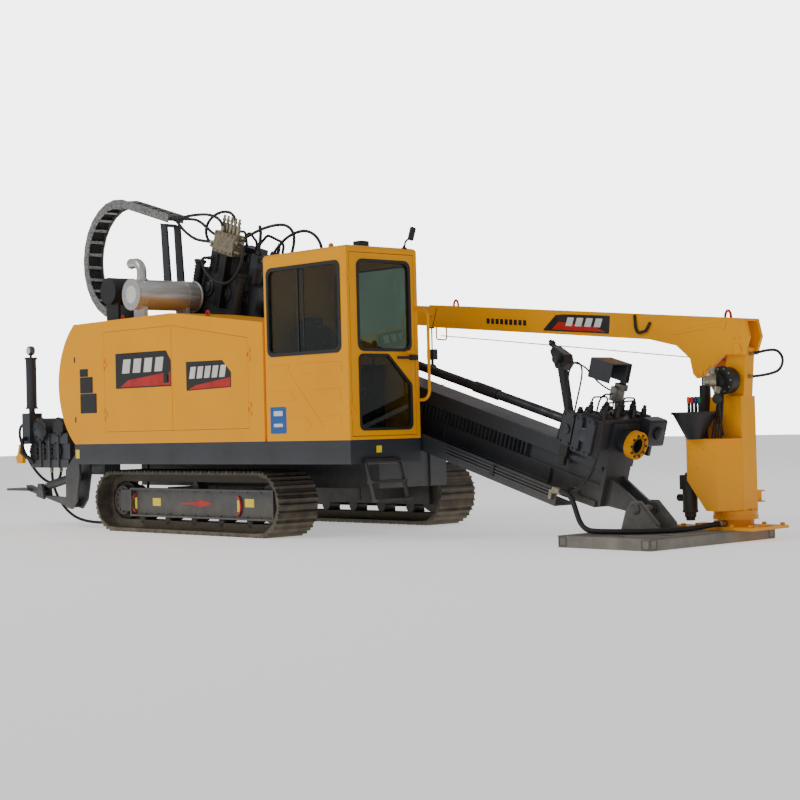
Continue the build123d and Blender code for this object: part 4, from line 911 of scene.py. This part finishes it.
# %% [markdown]
# ## Mast
# Steel pipes run along the mast's tray to a plated union, held by a clamp half way. Flanged joints
# split the box beam, and a small manifold feeds the vises.

# %% Mast fittings
piece("tray_pipes", [tube([(-1760, -416, w), (-468, -416, w)], 8, 10) for w in (-512, -538, -564)],
      "mast", charcoal, MAST)
piece("pipe_clamps", [block(-1190, -1150, -432, -404, -584, -496)],
      "mast", black, MAST, bevel=3)
piece("pipe_union", [block(-490, -456, -432, -400, -580, -500)], "mast", plated, MAST, bevel=3)
piece("mast_flanges", [
    block(u, u + 22, inner, inner + 29, -600, -400)
    for u in (-3400, -2080, -760) for inner in (-178, 149)
], "mast", charcoal, MAST, bevel=3)
piece("vise_manifold", [block(-650, -566, -214, -170, -250, -120),
                        block(-640, -580, -212, -169, -330, -250)],
      "mast", black, MAST, bevel=4)
print("mast done")

# %% [markdown]
# ## Vises and guide ring
# Thick jaw plates with slots and pins face the cab, clamping cylinders with bolted heads lie inside
# them, and the yellow ring that guides the rod has a circle of screws with pale washers.

# %% Vises
piece("ring_screws", [bolts(circle(10, 92, (0.5, 0, 0), (1, 2)), (1, 0, 0), 11, 9)],
      "mast", forged, MAST)
lip = [(0, 72), (0, 79), (7, 79), (7, 72)]
piece("ring_lip", [lathe(lip, (0, 0, 0), (1, 0, 0), 40, closed=True)],
      "mast", machined, MAST)


def jaw(u0, u1, y, w0, w1, corner=26):
    """A jaw plate with rounded corners that stands on the near face."""
    return prism(softened(box_outline(u0, u1, w0, w1), corner, 5), y, y + 26, "y")


piece("front_jaw_plates", [
    jaw(-380, -300, -400, -130, 172), jaw(-250, -165, -400, -130, 172),
    lathe([(0, 60), (24, 60), (28, 52), (28, 1)], (-270, -374, 30), NEAR, 32),
    bolts([(u, -400, w) for u in (-362, -318, -232, -182) for w in (-110, 150)], NEAR, 13, 10),
], "mast", charcoal, MAST, bevel=2)
piece("breakout_jaw_plates", [
    jaw(-548, -420, -370, -112, 158),
    lathe([(0, 40), (16, 40), (20, 32), (20, 1)], (-484, -368, 20), NEAR, 32),
    bolts([(u, -370, w) for u in (-530, -438) for w in (-92, 138)], NEAR, 13, 10),
    block(-540, -428, -300, 300, 134, 150),
    *[lathe([(0, 26), (40, 26), (44, 20), (60, 18)], (-484, y, 148), UP, 18)
      for y in (-240, -150, 150, 240)],
], "breakout", charcoal, MAST, bevel=2)
cylinder = [(0, 60), (14, 66), (40, 66), (44, 56), (120, 56), (124, 40), (150, 40)]
vise_pipes = [
    [(-345, -280, 280), (-345, -280, 330), (-345, -90, 330), (-345, -90, 280)],
    [(-215, -280, 280), (-215, -280, 310), (-215, 120, 330), (-215, 120, 280)],
    [(-345, 120, 280), (-345, 120, 320), (-330, 250, 320), (-330, 250, 280)],
]
piece("clamp_cylinders", [
    *[lathe(cylinder, (-270, side * 160, 60), (0, side, 0), 32) for side in (-1, 1)],
    *[lathe([(0, 24), (80, 24), (84, 16), (110, 16)], (u, y, 178), UP, 18)
      for u in (-345, -215) for y in (-280, -90, 120, 250)],
    *[block(-380, -190, y, y + 60, 178, 206) for y in (-330, -240, 190, 270)],
    *[tube(bent(path, 30), 8, 8) for path in vise_pipes],
], "mast", black, MAST, bevel=1)
piece("far_jaw_housing", [
    prism(softened(box_outline(-193, -59, -32, 200), 24, 5), 175, 400, "y"),
    lathe([(0, 56), (18, 56), (22, 46), (22, 1)], (-59, 300, 84), (1, 0, 0), 32)],
      "mast", charcoal, MAST, bevel=4)
piece("canopy_hardware", [
    block(-360, -300, -60, 40, 300, 420), block(-350, -250, -30, 30, 400, 452),
    *[tube(bent([(-320, y, 300), (-300, y - 12, 240), (-290, y - 16, 190)], 30), 7, 8)
      for y in (-40, -15, 10)],
    tube(bent([(-300, -20, 420), (-250, -20, 420), (-240, -20, 330)], 25), 9, 8),
], "mast", machined, MAST, bevel=2)
tip = [(0, 22), (40, 22), (44, 30), (70, 30), (74, 16), (92, 16)]
piece("greaser_tip", [
    lathe(tip, (-985, -120, 590), (-0.8, 0, 0.45), 20),
    lathe([(0, 34), (70, 34), (74, 26)], (-870, -168, 520), NEAR, 20),
    bolts([(-900, -171, 470), (-850, -171, 470), (-960, -171, 580)], NEAR, 9, 8),
], "mast", black, MAST, bevel=1.5)
print("vises done")

# %% [markdown]
# ## Crane's boom
# The boom is a box of folded sheet. Its side carries a bare decal plate with a stripe, red lifting
# eyes are bent from rod and stand on top, and a thin wire rope runs from the winch to the hook.
# Plates are drawn as outlines on the side's plane, since they were cut flat.

# %% Crane's boom
boom_side = 460


def boom_plates(outlines, out, thick, radius=8):
    """Thin plates on the boom's near side, from outlines in the machine's x and z."""
    face = boom_side - out
    return [prism(softened(o, radius, 3), face, face + thick, "y") for o in outlines]


def row(outline, count, along, down):
    """The same outline several times, each moved on along the boom and down."""
    return [[(x + along * k, z - down * k) for x, z in outline] for k in range(count)]


decal = [(-1700, 1832), (-919, 1760), (-902, 1916), (-1440, 1962), (-1535, 1962)]
piece("boom_plate", boom_plates([decal], 2, 3), "boom", black)
piece("boom_stripe", boom_plates([[(-1585, 1835), (-950, 1776), (-1090, 1830), (-1500, 1900)]],
                                 3, 2, 3), "boom", red)
bar = [(-1420, 1858), (-1345, 1851), (-1315, 1925), (-1390, 1932)]
piece("boom_bars", boom_plates(row(bar, 4, 110, 10), 4, 2, 4), "boom", white)
mark = [(-2400, 1936), (-2362, 1932), (-2362, 1982), (-2400, 1986)]
piece("boom_marks", boom_plates(row(mark, 9, 58, 5.6), 2, 2, 4),
      "boom", black)
piece("boom_rib", boom_plates([[(-229, 1708), (330, 1770), (345, 1800), (-229, 1738)]], 5, 6, 6),
      "boom", yellow, bevel=2)
seam = [(-3070, 2125), (-3062, 2125), (-3132, 1930), (-3142, 1930)]
piece("boom_seam", boom_plates([seam], 1, 2, 1), "boom", black)
clip = [(-622, 452, 1905), (-612, 446, 1800), (-590, 446, 1745), (-500, 446, 1760),
        (-452, 450, 1830)]
piece("cable_clip", [tube(bent(clip, 30), 13, 10)], "boom", rubber)
piece("boom_eyes", [
    tube(half_ring(x, 560, z, 30, 62), 11) for x, z in ((-2903, 2131), (279, 1826))
], "boom", red)
piece("boom_pins", [
    lathe([(0, 46), (10, 46), (14, 38), (14, 1)], (430, 461, 1560), NEAR, 32),
    lathe([(0, 30), (8, 30), (12, 22), (12, 1)], (301, 461, 1765), NEAR, 28),
    lathe([(0, 26), (8, 26), (12, 18), (12, 1)], (63, 461, 1378), NEAR, 28),
    bolts([(x, boom_side, z) for x, z in ((405, 1650), (455, 1650), (150, 1440), (120, 1410))],
          NEAR, 12, 9),
], "boom", yellow, bevel=1.5)
piece("boom_rope", [tube([(-3120, 560, 1864), (250, 560, 1478)], 4.5, 8)],
      "boom", machined)
tip_rod = [(-2948, 468, 1932), (-2950, 468, 1812), (-3086, 468, 1826), (-3086, 468, 1944)]
piece("boom_tip_frame", [
    tube(bent(tip_rod, 20), 7, 8),
    lathe([(0, 16), (8, 16), (11, 10), (11, 1)], (-3150, 461, 2060), NEAR, 20),
], "boom", yellow)
print("boom done")

# %% [markdown]
# ## Crane's column
# The winch's motor is flanged to its drum with a ring of bolts, the column turns on a slew ring
# bolted to the plate, and levers with coloured knobs stand in a funnel of bent rods. Most of these
# are turned parts, so each is a profile of distances and radii that is spun round an axis.

# %% Crane's column
piece("winch_motor", [
    lathe([(0, 52), (50, 52), (54, 44), (96, 40)], (340, 300, 1310), (-0.75, -0.45, 0), 24),
    block(262, 330, 250, 330, 1276, 1350),
    lathe([(0, 24), (40, 24), (44, 30), (66, 30)], (300, 300, 1352), UP, 12),
    lathe([(0, 26), (52, 26), (56, 18)], (352, 292, 1256), (0, -0.3, -1), 16),
    bolts(circle(10, 95, (340, 364, 1310)), NEAR, 9, 8),
], "column", plated, bevel=2)
piece("drum_disc", [
    lathe([(0, 118), (16, 118), (16, 100), (40, 96)], (340, 365, 1310), FAR, 44),
    lathe([(0, 40), (14, 44), (26, 44), (30, 30)], (345, 310, 1165), NEAR, 24),
], "column", black, bevel=2)
lever_knob = [(0, 13), (6, 16), (50, 16), (56, 10), (57, 1)]
lever_colours = {"orange": "#f26a1b", "red": "#d8201a", "navy": "#1c2c86", "green": "#12693f"}
for k, (word, code) in enumerate(lever_colours.items()):
    piece(f"lever_{word}", [lathe(lever_knob, (76 + 36 * k, 268, 1128), UP, 20)], "column",
          finish(f"knob_{word}", code, code, (0.25, 0.35), 300, 0.02, 6.0))
foot_ring, head_ring = (circle(10, r, (130, 268, z), (0, 1)) for r, z in ((60, 836), (168, 1048)))
piece("lever_funnel_struts", [
    *[tube(ends, 6, 8) for ends in zip(foot_ring, head_ring)],
    *[tube([(250 + 26 * k, 330 + 6 * k, 830), (262 + 22 * k, 372, 1010),
            (300 + 14 * k, 380, 1200)], 8, 8) for k in range(4)],
], "column", black)
cabinet_screws = (75, 760), (200, 756), (60, 690), (300, 700), (300, 470), (140, 600)
piece("cabinet_bolts", [
    bolts([(x, 269.5, z) for x, z in cabinet_screws], NEAR, 9, 6),
    block(30, 462, 262, 470, 829, 837),
], "column", yellow, bevel=1.5)
piece("slew_bolts", [bolts(circle(14, 168, (300, 560, 246), (0, 1)), UP, 11, 10)],
      "column", yellow)
foot_bolts = [(x, y, 120) for x in (-60, 110, 430, 610) for y in (330, 770)]
piece("crane_foot_bolts", [bolts(foot_bolts, UP, 20, 22)]
      + [block(x - 32, x + 32, 500, 620, 119, 134) for x in (-40, 590)],
      "anchor", yellow, bevel=1)
piece("stub_beam", [block(335, 349, 652, 860, 300, 400), block(302, 382, 652, 860, 388, 400),
                    block(302, 382, 652, 860, 300, 312)], "column", yellow, bevel=2)
slew_cap = [(0, 60), (6, 66), (22, 66), (26, 50), (60, 48), (64, 40), (90, 36)]
piece("slew_motor_cap", [lathe(slew_cap, (-30, 390, 470), UP, 28),
                         lathe(slew_cap, (-30, 390, 252), (0, 0, -1), 28),
                         lathe([(0, 30), (60, 30), (64, 22)], (-90, 390, 350), (-1, 0, 0), 20)],
      "column", black, bevel=1.5)
print("column done")

# %% [markdown]
# ## Ground plate
# The plate is welded from thick sheet and square tube: open tube ends show at its corners, and
# its top has slots to hook it by, drawn as flat black plates of painted shade. A tube's end is two
# rounded outlines, joined outside and inside.

# %% Ground plate
def tube_end(x, y, axis):
    """A short square tube, open at its end, made from a rounded outline at two sizes."""
    outer, inner = rounded(84, 84, 10), rounded(62, 62, 6)
    rings = []
    for flat, level in ((outer, 0), (inner, 0), (inner, 40), (outer, 40)):
        across, high = flat[:, 0], flat[:, 1] + 47.5
        depth = np.zeros(len(flat)) + level
        place = (across + x, depth + y, high) if axis == "y" else (x - depth, across + y, high)
        rings.append(np.stack(place, -1))
    return skin(np.stack(rings), closed=True)


piece("plate_corners", [tube_end(x, -764, "y") for x in (-424, 424)]
      + [tube_end(474, y, "x") for y in (-714, 814)]
      + [tube([(x, -758, 90), (x, 858, 90)], 6, 8) for x in (-474, 474)],
      "anchor", charcoal, bevel=2)
# Each slot is a thin black plate on the top: painted shade where the hole is
piece("plate_slot_shade", [prism(softened(box_outline(x, x + 120, y, y + 34), 15, 5), 94, 96.5, "z")
                      for x, y in ((-30, -620), (250, -380), (-420, -300))],
      "anchor", black)
pin_cap = [(0, 46), (10, 46), (14, 38), (14, 1)]
piece("hinge_caps", [lathe(pin_cap, (-190, side * 122, 280), (0, side, 0), 32) for side in (-1, 1)]
      + [tube([(-150, side * 128, 330), (30, side * 128, 150)], 8, 8) for side in (-1, 1)]
      + [block(-350, 30, -96, 96, 94, 108)], "anchor", charcoal, bevel=1.5)
print("ground plate done")

# %% [markdown]
# ## Mud pump
# A reciprocating pump is a crankcase, a row of valve covers and an air vessel that smooths the
# flow. Each cover is a bolted flange, and a gauge with a bright rim stands on the vessel.

# %% Mud pump
flange = [(0, 70), (0, 96), (16, 96), (16, 60), (60, 56)]
valves = [-7820 + 150 * k for k in range(4)]
piece("pump_flanges", [
    lathe([(0, 100), (0, 132), (22, 132), (22, 96)], (-7620, -1196, 1060), FAR, 36),
    lathe([(0, 1), (0, 80), (8, 92), (12, 92)], (-7620, -1204, 1060), FAR, 36),
    lathe([(0, 80), (0, 106), (20, 106), (20, 76)], (-7300, -1164, 1080), FAR, 36),
    bolts(circle(8, 118, (-7620, -1197, 1060)), NEAR, 11, 10),
    bolts(circle(8, 94, (-7300, -1165, 1080)), NEAR, 10, 9),
    *[lathe(flange, (x, -1150, 820), FAR, 32) for x in valves],
    *[bolts(circle(8, 82, (x, -1151, 820)), NEAR, 9, 8) for x in valves],
    tube(bent([(-7930, -1180, 960), (-7930, -1230, 960), (-7930, -1230, 800),
               (-7830, -1150, 700)], 30), 22, 12),
    tube(bent([(-8010, -1080, 1000), (-8080, -1080, 1000), (-8080, -1080, 1180)], 24), 14, 10),
], "chassis", black, bevel=1.5)
vessel_ring = [(0, 56), (0, 70), (18, 70), (18, 56)]
piece("air_vessel_rings", [lathe(vessel_ring, (-7930, -1100, z), UP, 32) for z in (1286, 1834)],
      "chassis", charcoal, bevel=2)
gauge = [(0, 30), (0, 48), (14, 52), (44, 52), (58, 48), (58, 30)]
piece("gauge_rim", [
    lathe(gauge, (-7930, -1129, 1932), FAR, 32),
    lathe([(0, 16), (30, 16), (34, 10)], (-7930, -1100, 1866), UP, 16),
], "chassis", machined, bevel=1)
hook_points = [(-7990, 900), (-7950, 900), (-7985, 800), (-7915, 770), (-7925, 690), (-8040, 690),
               (-8060, 760), (-8020, 800)]
piece("gauge_dial", [lathe([(0, 1), (0, 38), (2, 38), (2, 1)], (-7930, -1132, 1932), FAR, 32)],
      "chassis", white)
piece("pump_hook", [prism(softened(hook_points, 8, 3), -1240, -1195, "y")],
      "chassis", yellow, bevel=3)
piece("pump_covers", [
    block(-7890, -7130, -1146, -1128, 640, 730), block(-7480, -7130, -1150, -1120, 900, 1012),
    *[block(-7700 + 180 * k, -7660 + 180 * k, -1160, -1120, 640, 1020) for k in range(3)],
], "chassis", charcoal, bevel=3)
print("pump done")

# %% [markdown]
# ## Studio
# A pale floor without an edge, an even pale surround and large soft lamps show paint and steel
# without hard shadows. The strongest lamp stands on the cab's side, as in the photograph, so that
# the faces towards the drilling end stay darker.

# %% Floor and light
floor_mesh = bpy.data.meshes.new("floor")
floor_mesh.from_pydata([(-60, -60, 0), (60, -60, 0), (60, 60, 0), (-60, 60, 0)], [], [(0, 1, 2, 3)])
floor_paint = bpy.data.materials.new("pale_floor")
floor_paint.use_nodes = True
floor_shader = floor_paint.node_tree.nodes["Principled BSDF"]
for socket, value in {"Base Color": colour("#fafafa"), "Roughness": 0.9,
                      "Emission Color": colour("#fafafa"), "Emission Strength": 0.55}.items():
    floor_shader.inputs[socket].default_value = value
floor_mesh.materials.append(floor_paint)
floor = bpy.data.objects.new("floor", floor_mesh)
bpy.context.collection.objects.link(floor)
studio = bpy.data.worlds.new("studio")
studio.use_nodes = True
backdrop = studio.node_tree.nodes["Background"]
backdrop.inputs["Color"].default_value = colour("#fbfcff")
# The surround looks white to the eye, but lights the machine much less than that
seen = add(studio.node_tree, "ShaderNodeLightPath", {}).outputs["Is Camera Ray"]
strength = add(studio.node_tree, "ShaderNodeMapRange", {
    "Value": seen, "To Min": 0.42, "To Max": 5.0})
studio.node_tree.links.new(strength.outputs[0], backdrop.inputs["Strength"])
bpy.context.scene.world = studio


def lamp(name, place, target, size, power):
    """A square soft lamp that looks from its place to its target."""
    light = bpy.data.lights.new(name, "AREA")
    light.size, light.energy = size, power
    obj = bpy.data.objects.new(name, light)
    obj.location = place
    obj.rotation_euler = (Vector(target) - Vector(place)).to_track_quat("-Z", "Y").to_euler()
    bpy.context.collection.objects.link(obj)


lamp("key", (-10, -14, 13), (-3.5, 0, 1), 7, 900)
lamp("fill", (12, -10, 7), (-2, 0, 1), 10, 25)
lamp("back", (-2, 14, 12), (-3, 0, 1), 10, 200)
print("lamps:", len(bpy.data.lights))
